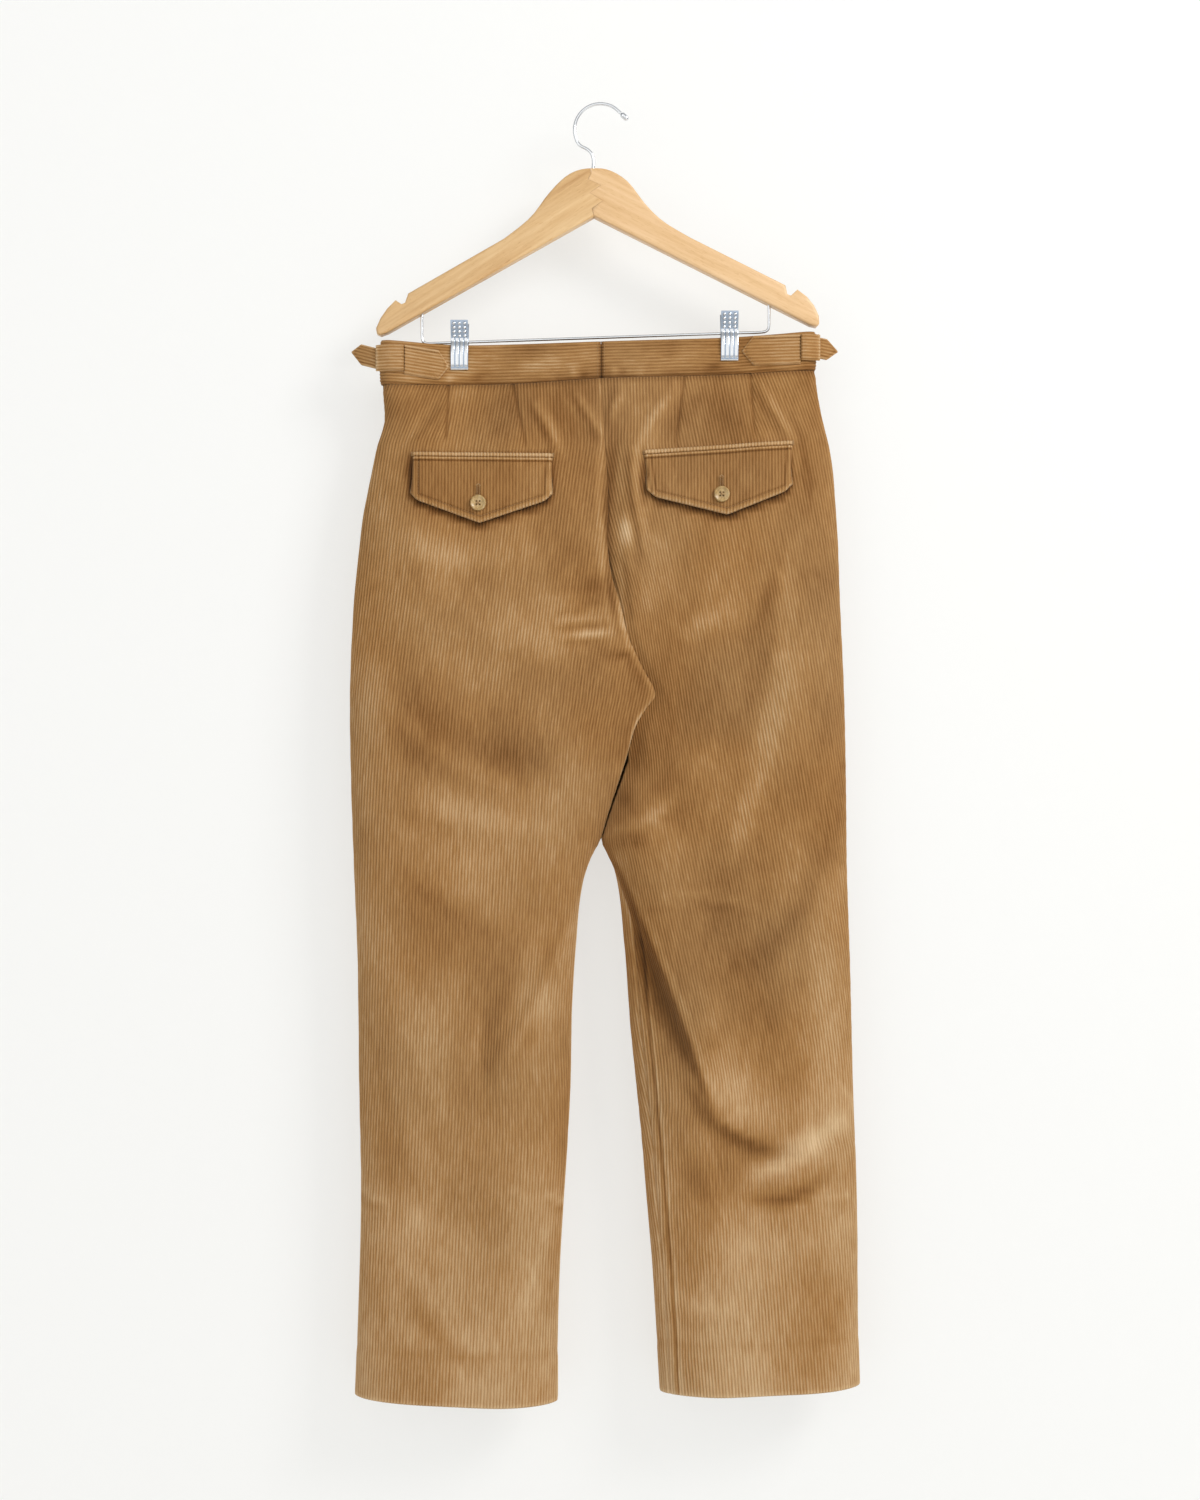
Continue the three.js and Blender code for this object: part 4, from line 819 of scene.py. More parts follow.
def flap_shade(pocket, x, drop):
    """How deep the panel lies in the shade beside and below a flap, from 0 to 1."""
    left, right = pocket["corner"][0], pocket["far"][0]
    low = flap_edge(pocket, np.clip((x - left) / (right - left), 0, 1))[1]
    beside = np.maximum(left - x, 0) + 2 * np.maximum(x - right, 0)
    away = np.hypot(beside, np.maximum(drop - low, 0))
    return bell(away, 0, 5) * ease(0, 10, drop - pocket["start"][1])


def flap_place(pocket, share, down):
    top_x, top = on_line(pocket["start"], pocket["stop"], share)
    low_x, low = flap_edge(pocket, share)
    return mix(top_x, low_x, down), mix(top + WELT_HEIGHT, low, down)


def flap_out(name, x, drop, down):
    return outside_at(name, x, drop) + LAY_GAP + FLAP_LIFT * down**2 + FLAP_THICK


def flap_shell(hand, pocket):
    share = closer_at_ends(300, 0.3)[None, :]
    down = closer_at_ends(44, 0.5)[:, None]
    x, drop = flap_place(pocket, share, down)
    panel = "back_" + hand
    grid = np.stack([x, -flap_out(panel, x, drop, down), -drop], axis=2)
    low = flap_edge(pocket, share)[1]
    to_low = (low - drop) * 0.95
    to_side = np.minimum(x - x[:, :1], x[:, -1:] - x)
    inside = np.minimum(to_low, to_side)
    from_top = drop - drop[:1]
    jet = bell(from_top, 1.4, 1)
    lift = -0.7 * bell(inside, TOPSTITCH_IN, 0.9) + 0.35 * bell(inside, 3, 2) - 1.1 * bell(inside, 0, 1)
    lift = lift + 0.5 * jet - 1 * bell(from_top, 3.6, 0.7)
    # The flap's tone is painted light and shade: darker in the topstitch groove and in the groove under the jet,
    # painted highlights on its lower edge and on the jet, and the buttonhole's slit painted darker.
    tone = -0.17 - 0.3 * bell(inside, TOPSTITCH_IN, 1) + 0.45 * bell(to_low, 0.4, 1.4) + 0.15 * bell(inside, 2.5, 2)
    tone = tone + 0.5 * jet - 0.7 * bell(from_top, 3.6, 0.9)
    button_x, button_drop = pocket["button"]
    slit = ease(1.1, 0.5, np.abs(x - button_x)) * ease(-17.5, -16, drop - button_drop)
    slit = slit * ease(1, 0, drop - button_drop)
    lift, tone = lift - 0.7 * slit, tone - 0.8 * slit
    rib = 1 - np.clip(bell(from_top, 0, 3.4) * 1.4, 0, 1)
    return corded_shell(f"flap_{hand}_cloth", grid, (x - button_x) + 0.5 * WALE, thick=FLAP_THICK - 0.4,
                        facing=(0, -1, 0), lift=lift, dip=(0.9, 1.4), tone=tone, rib=rib)


def welt_shell(hand, pocket):
    share = np.linspace(0, 1, 300)[None, :]
    down = np.linspace(0, 1, 9)[:, None]
    x, drop = on_line(pocket["start"], pocket["stop"], share)
    drop = drop + down * (WELT_HEIGHT - GAP)
    round_off = np.sin(np.pi * np.clip(0.12 + 0.76 * down, 0, 1)) ** 0.6
    out = outside_at("back_" + hand, x + 0 * down, drop) + LAY_GAP + WELT_THICK * round_off
    grid = np.stack([x + 0 * down, -out, -drop], axis=2)
    # Painted light: lighter on its rounded face, darker towards its foot.
    tone = 0.55 * round_off - 0.25 * down + 0 * x
    return corded_shell(f"welt_{hand}_cloth", grid, x - pocket["start"][0] + 0 * down, thick=1.2,
                        facing=(0, -1, 0), tone=tone, rib=0.8)


# Sewing. One stitch is modelled and laid along each line.
def deselect():
    if bpy.context.object and bpy.context.object.mode != "OBJECT":
        bpy.ops.object.mode_set(mode="OBJECT")
    bpy.ops.object.select_all(action="DESELECT")


def named(name):
    piece = bpy.context.active_object
    piece.name = name
    piece.data.name = name
    return piece


def settle(piece):
    """Puts a piece's place into its mesh, so that its object sits at the origin."""
    deselect()
    piece.select_set(True)
    bpy.context.view_layer.objects.active = piece
    bpy.ops.object.transform_apply(location=True, rotation=True, scale=True)
    return piece


def stitch_template():
    deselect()
    bpy.ops.mesh.primitive_uv_sphere_add(segments=6, ring_count=4, radius=0.5)
    stitch = bpy.context.active_object
    points = np.array([v.co[:] for v in stitch.data.vertices])
    faces = [tuple(p.vertices) for p in stitch.data.polygons]
    bpy.data.objects.remove(stitch, do_unlink=True)
    return points[:, [2, 0, 1]], faces


STITCH_POINTS, STITCH_FACES = stitch_template()


def sew(name, stitches):
    """Joins stitches into one piece. Each is its middle, its two ends' half run and its outward direction."""
    points, faces = [], []
    for middle, run, out, thick in stitches:
        middle, run, out = (np.array(v, float) for v in (middle, run, out))
        length = np.linalg.norm(run)
        ahead = run / length
        sideways = np.cross(out, ahead)
        sideways /= np.linalg.norm(sideways)
        up = np.cross(ahead, sideways)
        base = len(points) * len(STITCH_POINTS)
        shape = STITCH_POINTS * np.array([length * 2.2, thick, thick * 0.8])
        points.append(middle + shape[:, :1] * ahead + shape[:, 1:2] * sideways + shape[:, 2:] * up)
        faces.extend(tuple(int(v) + base for v in face) for face in STITCH_FACES)
    return new_mesh_object(name, (np.concatenate(points) * MM).tolist(), faces)


def stitches_along(path, pitch=2.9, thick=0.55, fill=0.72):
    """Stitches end to end along points that stand on the cloth. Each point carries its outward direction."""
    places, outs = (np.array([p[k] for p in path], float) for k in (0, 1))
    run = np.concatenate([[0], np.cumsum(np.linalg.norm(np.diff(places, axis=0), axis=1))])
    count = max(2, round(run[-1] / pitch))
    made = []
    for k in range(count):
        ends = [np.array([np.interp(run[-1] * (k + e) / count, run, places[:, c]) for c in range(3)]) for e in (0, 1)]
        out = np.array([np.interp(run[-1] * (k + 0.5) / count, run, outs[:, c]) for c in range(3)])
        made.append(((ends[0] + ends[1]) / 2, (ends[1] - ends[0]) * fill / 2, out, thick))
    return made


def flap_sewing(hand, pocket):
    panel = "back_" + hand
    (button_x, button_drop), path = pocket["button"], []
    share = np.linspace(0, 1, 90)
    low_x, low = flap_edge(pocket, share)
    inner = (low_x > low_x[0] + TOPSTITCH_IN) & (low_x < low_x[-1] - TOPSTITCH_IN)
    outline = [(low_x[0] + TOPSTITCH_IN, pocket["start"][1] + 9)]
    outline += [(x, drop - TOPSTITCH_IN) for x, drop in zip(low_x[inner], low[inner])]
    outline.append((low_x[-1] - TOPSTITCH_IN + 1, pocket["stop"][1] + 9))
    for x, drop in outline:
        down = np.clip((drop - pocket["start"][1] - WELT_HEIGHT) / 50, 0, 1)
        out = float(flap_out(panel, np.array([x]), np.array([drop]), down)[0])
        path.append(((x, -(out - 0.3), -drop), (0, -1, 0)))
    made = stitches_along(path)
    out = float(flap_out(panel, np.array([button_x]), np.array([button_drop]), 0.9)[0])
    for k in range(18):
        drop = button_drop - 1 - 0.9 * k
        for hand_side in (-1, 1):
            made.append(((button_x + hand_side * 1.15, -(out + 0.1), -drop), (0.7, 0, 0), (0, -1, 0), 0.75))
    for k in range(9):
        angle = math.radians(180 * k / 8)
        away = np.array([math.cos(angle), 0, math.sin(angle)])
        eye = np.array([button_x, -(out + 0.1), -(button_drop - 17)])
        made.append((eye + 1.7 * away, 0.7 * away, (0, -1, 0), 0.8))
    for end, (x, drop) in (("start", pocket["start"]), ("stop", pocket["stop"])):
        out = float(outside_at(panel, np.array([x]), np.array([drop + 3]))[0]) + 1.6
        for k in range(6):
            made.append(((x + (-1 if end == "start" else 1) * 0.6, -out, -(drop + 0.8 * k)), (1.1, 0, 0), (0, -1, 0), 0.7))
    return made


def band_sewing():
    made, centre = [], CENTRE_BACK[0]
    for x in (centre - 3.2, centre + 3.2):
        top, foot = float(along(ACROSS_X, BAND_TOP, x)), float(waist_seam(x))
        out = float(band_depth(-1, np.array([x]))[0]) + 0.75
        made += stitches_along([((x, -out, -(top + 2)), (0, -1, 0)), ((x, -out - 0.3, -(foot - 2)), (0, -1, 0))])
    for hand, a in ADJUSTERS.items():
        side, half = a["side"], STRIP_HALF - 3
        corners = [(a["join"] - 2, -half), (a["shoulder"] + 1, -half), (a["point"] + 4, 0), (a["shoulder"] + 1, half),
                   (a["join"] - 2, half)]
        path = []
        for distance, height in corners:
            drop = a["strip_middle"] + a["strip_fall"] * (a["join"] - distance) + height
            place = on_adjuster(side, np.array(distance), np.array(drop), GAP + STRIP_THICK - 0.15)
            path.append((place, (0, -1, 0)))
        made += stitches_along(path, 2.8)
        for k in range(14):
            height = mix(-11, 11, k / 13)
            place = on_adjuster(side, np.array(a["join"] + 1.6), np.array(a["loop_middle"] + height), 4.9 - (height / 11) ** 4)
            made.append((place, (0, 0, 0.65), (0, -1, 0), 0.5))
    return made


FLY = [(-35, 292), (-35, 380), (-34, 430), (-29, 456), (-18, 474), (-4, 482), (2, 484)]
POCKET_MOUTH = (320, 482)


def front_sewing():
    made = []
    points = []
    for (x0, d0), (x1, d1) in zip(FLY, FLY[1:]):
        for s in np.linspace(0, 1, 6)[:-1]:
            points.append((mix(x0, x1, s), mix(d0, d1, s)))
    path = []
    for x, drop in points:
        out = float(outside_at("front_left", np.array([x]), np.array([drop]))[0])
        path.append(((x, out + 0.55, -drop), (0, 1, 0)))
    made += stitches_along(path, 2.8)
    for name, side in (("front_left", -1), ("front_right", 1)):
        path = []
        for drop in np.linspace(*POCKET_MOUTH, 20):
            x = float(side_seam(name, drop)) - side * 7
            out = float(outside_at(name, np.array([x]), np.array([drop]))[0])
            path.append(((x + side * 0.3, out + 0.5, -drop), (side * 0.5, 0.85, 0)))
        made += stitches_along(path, 2.8)
        for drop in POCKET_MOUTH:
            for k in range(8):
                x = float(side_seam(name, drop)) - side * (1.2 + 0.75 * k)
                out = float(outside_at(name, np.array([x]), np.array([drop]))[0])
                made.append(((x + side * 0.3, out + 0.5, -drop), (0, 0, 1.1), (side * 0.6, 0.8, 0), 0.7))
    return made


# Hanger, in wood and plated steel
HOOK_WIRE, HOOK_RADIUS, HOOK_CENTRE, HOOK_NECK, HOOK_END = 3.5, 26, (4.5, -23.8), (-7, -44.8), (24.6, -7.2)
STEM_X, STEM_TOP, STEM_FOOT = -3.5, 50, 88
HOOK_TURN = (214, 45, 16.9)
BAR_WIRE, BAR_BEND = 3, 7
BAR_LEFT, BAR_RIGHT, BAR_LEFT_LEG, BAR_RIGHT_LEG = (-168, 237.5), (169, 226), (-174, 200), (173, 188)
BAR_FALL = (BAR_RIGHT[1] - BAR_LEFT[1]) / (BAR_RIGHT[0] - BAR_LEFT[0])
CLIPS = {"left": -136.2, "right": 133.3}
CLIP_WIDTH, CLIP_PLATE = 18, 1
CLIP_BELOW = [-20.5, -14, -7, -2, 0.5, 3, 12, 20, 26, 28.5]
CLIP_OUT = [10, 8, 4.8, 3, 3.4, 4.8, 6.4, 6, 4.8, 4.8]
TIP_SLOPE = 0.9


def bar_drop(x):
    return BAR_LEFT[1] + BAR_FALL * (x - BAR_LEFT[0])


def wire_piece(name, points, radius, *, handles="AUTO", sides=4):
    """A round wire through points, as a curve turned into a mesh."""
    deselect()
    bpy.ops.curve.primitive_bezier_curve_add()
    piece = named(name)
    curve = piece.data
    curve.dimensions = "3D"
    spline = curve.splines[0]
    spline.bezier_points.add(len(points) - 2)
    for knot, point in zip(spline.bezier_points, points):
        knot.co = Vector(point) * MM
        knot.handle_left_type = knot.handle_right_type = handles
    curve.resolution_u = 8
    curve.bevel_depth = radius * MM
    curve.bevel_resolution = sides
    curve.use_fill_caps = True
    deselect()
    piece.select_set(True)
    bpy.context.view_layer.objects.active = piece
    bpy.ops.object.convert(target="MESH")
    bpy.ops.object.shade_smooth_by_angle(angle=math.radians(50))
    return settle(bpy.context.active_object)


def hook_piece():
    points = [(STEM_X, 0, z) for z in (-STEM_FOOT, -(STEM_TOP + STEM_FOOT) / 2, -STEM_TOP)]
    points.append((HOOK_NECK[0], 0, HOOK_NECK[1]))
    degrees, stop, step = HOOK_TURN
    while degrees >= stop:
        angle = math.radians(degrees)
        x, z = HOOK_CENTRE[0] + HOOK_RADIUS * math.cos(angle), HOOK_CENTRE[1] + HOOK_RADIUS * math.sin(angle)
        points.append((x, 0, z))
        degrees -= step
    points.append((HOOK_END[0], 0, HOOK_END[1]))
    return wire_piece("hook_wire", points, HOOK_WIRE / 2, sides=6)


def hook_tip_piece():
    """The rounded bead over the cut end of the hook's wire."""
    deselect()
    bpy.ops.mesh.primitive_uv_sphere_add(segments=24, ring_count=16, radius=2.9 * MM)
    piece = named("hook_bead")
    select_points(piece, lambda place: place.z > 0.1 * MM)
    bpy.ops.transform.translate(value=(0, 0, 4 * MM))
    bpy.ops.object.mode_set(mode="OBJECT")
    onwards = Vector((1, 0, -TIP_SLOPE)).normalized()
    centre = Vector((HOOK_END[0], 0, HOOK_END[1])) + onwards * (GAP + 2.9 + 2)
    piece.rotation_mode = "QUATERNION"
    piece.rotation_quaternion = Vector((0, 0, 1)).rotation_difference(onwards)
    piece.location = (centre - onwards * 2) * MM
    bpy.ops.object.shade_smooth()
    return settle(piece)


def bar_piece():
    left, right = Vector((BAR_LEFT_LEG[0], 0, -bar_drop(BAR_LEFT_LEG[0]))), Vector((BAR_RIGHT_LEG[0], 0, -bar_drop(BAR_RIGHT_LEG[0])))
    top_left, top_right = Vector((BAR_LEFT_LEG[0], 0, -BAR_LEFT_LEG[1])), Vector((BAR_RIGHT_LEG[0], 0, -BAR_RIGHT_LEG[1]))
    points = [top_left, mix(top_left, left, 0.5)]
    for corner, before, after in ((left, top_left, right), (right, left, top_right)):
        come = corner + (before - corner).normalized() * BAR_BEND
        leave = corner + (after - corner).normalized() * BAR_BEND
        points += [mix(come, before, 0.06), come]
        points += [(1 - s) ** 2 * come + 2 * s * (1 - s) * corner + s * s * leave for s in (0.25, 0.5, 0.75)]
        points += [leave, mix(leave, after, 0.02)]
    points += [top_right]
    return wire_piece("clip_bar_wire", points, BAR_WIRE / 2, handles="AUTO")


def select_points(piece, wanted):
    """Goes into edit mode with the points selected whose place is wanted."""
    bpy.ops.object.mode_set(mode="EDIT")
    bpy.ops.mesh.select_all(action="DESELECT")
    bpy.ops.object.mode_set(mode="OBJECT")
    for vertex in piece.data.vertices:
        vertex.select = wanted(vertex.co)
    bpy.ops.object.mode_set(mode="EDIT")


def pressed_strip(name, middle, drop, face, width, heights, raised, thick, material):
    """A strip of sheet steel that follows a clip's side view. Heights are measured down from the bar."""
    deselect()
    bpy.ops.mesh.primitive_plane_add(size=width * MM, rotation=(math.radians(90), 0, 0))
    strip = settle(named(name))
    select_points(strip, lambda place: place.z < 0)
    bpy.ops.mesh.delete(type="VERT")
    bpy.ops.mesh.select_all(action="SELECT")
    outs = np.interp(heights, CLIP_BELOW, CLIP_OUT) + raised
    bpy.ops.transform.translate(value=(middle * MM, face * outs[0] * MM, -(drop + heights[0] + width / 2) * MM))
    for k in range(1, len(heights)):
        step = (0, face * (outs[k] - outs[k - 1]) * MM, (heights[k - 1] - heights[k]) * MM)
        bpy.ops.mesh.extrude_region_move(TRANSFORM_OT_translate={"value": step})
    bpy.ops.object.mode_set(mode="OBJECT")
    wall = strip.modifiers.new("Thickness", "SOLIDIFY")
    wall.thickness, wall.offset = thick * MM, 0
    edges = strip.modifiers.new("Edges", "BEVEL")
    edges.width, edges.segments, edges.limit_method = 0.3 * MM, 2, "ANGLE"
    for modifier in (wall.name, edges.name):
        bpy.ops.object.modifier_apply(modifier=modifier)
    bpy.ops.object.mode_set(mode="EDIT")
    bpy.ops.mesh.select_all(action="SELECT")
    bpy.ops.mesh.normals_make_consistent(inside=False)
    bpy.ops.object.mode_set(mode="OBJECT")
    strip.data.materials.append(material)
    return strip


PLATE_HEIGHTS = [-20.5, -14, -7, -2, 0.5, 3, 7, 12, 16, 20, 23, 26, 28.5]
RIB_HEIGHTS = [-3.6, -2, 0.5, 3, 7, 12, 16, 20, 23, 25.6]
RIBS, RIB_PITCH, RIB_WIDTH = 4, 4.4, 3.1
BUMP_COLUMNS, BUMP_ROWS, BUMP_ACROSS, BUMP_DOWN, BUMP_TOP, BUMP_RADIUS = 3, 4, 5.3, 3.9, -17.4, 1.9


def clip_piece(hand, face, bright, groove_steel):
    """A pressed clip plate with a rolled foot, four ribs on its jaw and rows of bumps on its grip."""
    middle, drop = CLIPS[hand], bar_drop(CLIPS[hand])
    name = f"clip_{'back' if face < 0 else 'front'}_{hand}_plate"
    # The plate between the ribs takes the duller, bluer steel, as painted shade in the grooves.
    plate = pressed_strip(name, middle, drop, face, CLIP_WIDTH - 0.6, PLATE_HEIGHTS, CLIP_PLATE / 2, CLIP_PLATE, groove_steel)
    pieces = [plate]
    for k in range(RIBS):
        x = middle + (k - (RIBS - 1) / 2) * RIB_PITCH
        pieces.append(pressed_strip("rib", x, drop, face, RIB_WIDTH, RIB_HEIGHTS, CLIP_PLATE + 0.25, 0.9, bright))
    front = CLIP_OUT[-1] + CLIP_PLATE
    ends = [(middle + s * (CLIP_WIDTH / 2 - 0.6), face * (front + 0.1), -(drop + 27.6)) for s in (-1, 0, 1)]
    foot = wire_piece("foot", ends, 1, sides=3)
    foot.data.materials.append(bright)
    pieces.append(foot)
    for row in range(BUMP_ROWS):
        below = BUMP_TOP + BUMP_DOWN * row
        out = float(np.interp(below, CLIP_BELOW, CLIP_OUT)) + CLIP_PLATE - 0.8
        for column in range(BUMP_COLUMNS):
            x = middle + (column - 1) * BUMP_ACROSS
            deselect()
            bpy.ops.mesh.primitive_uv_sphere_add(
                segments=14, ring_count=8, radius=BUMP_RADIUS * MM, location=(x * MM, face * out * MM, -(drop + below) * MM),
            )
            bump = settle(named("bump"))
            bump.data.materials.append(bright)
            pieces.append(bump)
    deselect()
    for piece in pieces:
        piece.select_set(True)
    bpy.context.view_layer.objects.active = plate
    bpy.ops.object.join()
    bpy.ops.object.shade_smooth_by_angle(angle=math.radians(40))
    return settle(plate)


def spring_piece(hand):
    """The clip's torsion spring, wound round the bar."""
    middle, radius, turns = CLIPS[hand], 2.25, 6
    points = []
    for k in range(turns * 8 + 1):
        angle = 2 * math.pi * k / 8
        x = middle - 4 + 8 * k / (turns * 8)
        points.append((x, radius * math.cos(angle), -bar_drop(x) + radius * math.sin(angle)))
    return wire_piece(f"clip_spring_{hand}_coil", points, 0.6, sides=2)


def button_piece(hand, seat):
    """A turned four-hole button with a round rim and a dished middle."""
    x, drop = POCKETS[hand]["button"]
    radius = BUTTON_RADIUS
    deselect()
    bpy.ops.mesh.primitive_circle_add(vertices=48, radius=(radius - 0.8) * MM, fill_type="NGON")
    button = named(f"button_{hand}_horn")
    bpy.ops.object.mode_set(mode="EDIT")
    bpy.ops.mesh.select_all(action="SELECT")
    for height, grow in ((0.7, 0.8), (1.3, 0), (0.7, -0.4), (0.4, -0.6), (-0.25, -0.7), (-0.7, -0.9), (-0.35, -0.8)):
        bpy.ops.mesh.extrude_region_move(TRANSFORM_OT_translate={"value": (0, 0, height * MM)})
        size = mix_size(button, grow)
        bpy.ops.transform.resize(value=(size, size, 1), center_override=(0, 0, 0))
    bpy.ops.mesh.select_all(action="SELECT")
    bpy.ops.mesh.normals_make_consistent(inside=False)
    bpy.ops.object.mode_set(mode="OBJECT")
    for sideways in (-1.6, 1.6):
        for upwards in (-1.6, 1.6):
            deselect()
            bpy.ops.mesh.primitive_cylinder_add(vertices=16, radius=0.95 * MM, depth=12 * MM, location=(sideways * MM, upwards * MM, 0))
            drill = bpy.context.active_object
            cut = button.modifiers.new("Hole", "BOOLEAN")
            cut.operation, cut.object, cut.solver = "DIFFERENCE", drill, "EXACT"
            deselect()
            button.select_set(True)
            bpy.context.view_layer.objects.active = button
            bpy.ops.object.modifier_apply(modifier="Hole")
            bpy.data.objects.remove(drill, do_unlink=True)
    button.rotation_euler = (math.radians(90), 0, 0)
    button.location = (x * MM, -seat * MM, -drop * MM)
    bpy.ops.object.shade_smooth_by_angle(angle=math.radians(35))
    return settle(button)


def mix_size(button, grow):
    """The scale that widens the newest ring of a round piece by an amount."""
    mesh = bmesh.from_edit_mesh(button.data)
    radius = max(v.co.xy.length for v in mesh.verts if v.select)
    return (radius + grow * MM) / radius


def button_thread(hand, seat):
    x, drop = POCKETS[hand]["button"]
    made = []
    for k in (-0.45, 0, 0.45):
        for cross in (-1, 1):
            run = np.array([1.5, 0, 1.5 * cross])
            made.append(((x + k * cross * 0.6, -(seat + 2.2), -drop + k), run, (0, -1, 0), 0.6))
    return made


def arm_piece(hand):
    """A copy of a wooden arm, with its loose triangles merged and its rounded edges shaded smooth."""
    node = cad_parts[f"hanger_arm_{hand}"]
    piece = node.copy()
    piece.data = node.data.copy()
    piece.name = f"hanger_arm_{hand}_wood"
    bpy.context.scene.collection.objects.link(piece)
    piece.parent = None
    piece.matrix_world = node.matrix_world
    deselect()
    piece.select_set(True)
    bpy.context.view_layer.objects.active = piece
    bpy.ops.object.mode_set(mode="EDIT")
    bpy.ops.mesh.select_all(action="SELECT")
    bpy.ops.mesh.remove_doubles(threshold=0.00001)
    bpy.ops.object.mode_set(mode="OBJECT")
    bpy.ops.object.shade_smooth_by_angle(angle=math.radians(32))
    return settle(piece)


# Materials
def linear(code):
    """A hex colour in sRGB, as linear RGBA."""
    values = [int(code[k : k + 2], 16) / 255 for k in (1, 3, 5)]
    return (*(v / 12.92 if v <= 0.04045 else ((v + 0.055) / 1.055) ** 2.4 for v in values), 1)


def new_material(name):
    material = bpy.data.materials.new(name)
    material.use_nodes = True
    return material, material.node_tree


def add_node(tree, kind, settings=None, links=None):
    """Adds a node. Settings are attributes or sockets; links join a socket to another node's output."""
    node = tree.nodes.new(kind)
    for key, value in (settings or {}).items():
        if isinstance(key, str) and hasattr(node, key):
            setattr(node, key, value)
        else:
            node.inputs[key].default_value = value
    for key, (source, output) in (links or {}).items():
        tree.links.new(source.outputs[output], node.inputs[key])
    return node


def math_node(tree, operation, a, b=None):
    settings, links = {"operation": operation}, {}
    for key, value in ((0, a), (1, b)):
        if isinstance(value, tuple):
            links[key] = value
        elif value is not None:
            settings[key] = value
    return (add_node(tree, "ShaderNodeMath", settings, links), 0)


def colour_ramp(tree, source, stops):
    ramp = add_node(tree, "ShaderNodeValToRGB", links={0: source})
    elements = ramp.color_ramp.elements
    for k, (place, code) in enumerate(stops):
        element = elements[k] if k < 2 else elements.new(place)
        element.position, element.color = place, linear(code)
    return (ramp, 0)


def corduroy(name, stops, dark_stops, sheen):
    """Cut-pile cotton corduroy: matt, with brushed ribs that catch light on their sides and grooves between, painted
    darker as painted shade; its tone attribute carries painted light and shade.
    """
    material, tree = new_material(name)
    shader = tree.nodes["Principled BSDF"]
    across, length, tone, outside = (
        (add_node(tree, "ShaderNodeAttribute", {"attribute_name": label}), "Fac")
        for label in ("wale_across", "wale_along", "tone", "outside")
    )
    turn = math_node(tree, "FRACT", math_node(tree, "DIVIDE", across, WALE))
    from_middle = math_node(tree, "ABSOLUTE", math_node(tree, "SUBTRACT", math_node(tree, "MULTIPLY", turn, 2), 1))
    rib = math_node(tree, "SUBTRACT", 1, from_middle)
    rib = math_node(tree, "POWER", math_node(tree, "MAXIMUM", rib, 0.0001), 0.55)

    flow = add_node(tree, "ShaderNodeCombineXYZ", links={
        0: math_node(tree, "MULTIPLY", across, 0.42), 1: math_node(tree, "MULTIPLY", length, 0.05)})
    streak = add_node(tree, "ShaderNodeTexNoise", {"Scale": 1.0, "Detail": 3.0, "Roughness": 0.6}, {"Vector": (flow, 0)})
    place = add_node(tree, "ShaderNodeTexCoord")
    brushed = add_node(tree, "ShaderNodeMapping", {"Rotation": (0, 0.7, 0), "Scale": (13, 9, 6)}, {"Vector": (place, "Object")})
    cloud = add_node(tree, "ShaderNodeTexNoise", {"Scale": 1.0, "Detail": 4.0, "Roughness": 0.6}, {"Vector": (brushed, 0)})
    pile = add_node(tree, "ShaderNodeTexNoise", {"Scale": 900.0, "Detail": 2.0}, {"Vector": (place, "Object")})

    # The grooves are painted darker than the ribs, as painted shade; the tone attribute adds the painted light and
    # shade laid on each piece, and the noises add random tone.
    light = math_node(tree, "MULTIPLY", rib, 0.24)
    for source, amount in (((streak, 0), 0.34), ((cloud, 0), 0.46), ((pile, 0), 0.14), (tone, 0.42)):
        light = math_node(tree, "ADD", light, math_node(tree, "MULTIPLY", source, amount))
    light = math_node(tree, "SUBTRACT", light, 0.058)
    wale_colour_with_painted_shade = colour_ramp(tree, light, stops)
    inside = colour_ramp(tree, (cloud, 0), dark_stops)
    shifted = add_node(tree, "ShaderNodeMapping", {"Location": (3, 5, 1), "Scale": (8, 8, 5)}, {"Vector": (place, "Object")})
    olive = add_node(tree, "ShaderNodeTexNoise", {"Scale": 1.0, "Detail": 2.0}, {"Vector": (shifted, 0)})
    share = add_node(tree, "ShaderNodeMapRange", {"From Min": 0.42, "From Max": 0.68, "To Max": 0.32}, {"Value": (olive, 0)})
    greyed = add_node(tree, "ShaderNodeHueSaturation", {"Hue": 0.512, "Saturation": 0.86, "Value": 1.0}, {"Color": wale_colour_with_painted_shade})
    shaded = add_node(tree, "ShaderNodeMix", {"data_type": "RGBA"}, {0: (share, 0), 6: wale_colour_with_painted_shade, 7: (greyed, 0)})
    colour = add_node(tree, "ShaderNodeMix", {"data_type": "RGBA"}, {0: outside, 6: inside, 7: (shaded, 2)})
    tree.links.new(colour.outputs[2], shader.inputs["Base Color"])
    relief = math_node(tree, "ADD", rib, math_node(tree, "MULTIPLY", (pile, 0), 0.5))
    relief = math_node(tree, "MULTIPLY", relief, outside)
    bump = add_node(tree, "ShaderNodeBump", {"Strength": 0.36, "Distance": 0.0005}, {"Height": relief})
    tree.links.new(bump.outputs[0], shader.inputs["Normal"])
    shader.inputs["Roughness"].default_value = 0.92
    shader.inputs["Specular IOR Level"].default_value = 0.15
    shader.inputs["Sheen Weight"].default_value = sheen
    shader.inputs["Sheen Roughness"].default_value = 0.45
    shader.inputs["Sheen Tint"].default_value = linear("#ffe0b4")
    return material


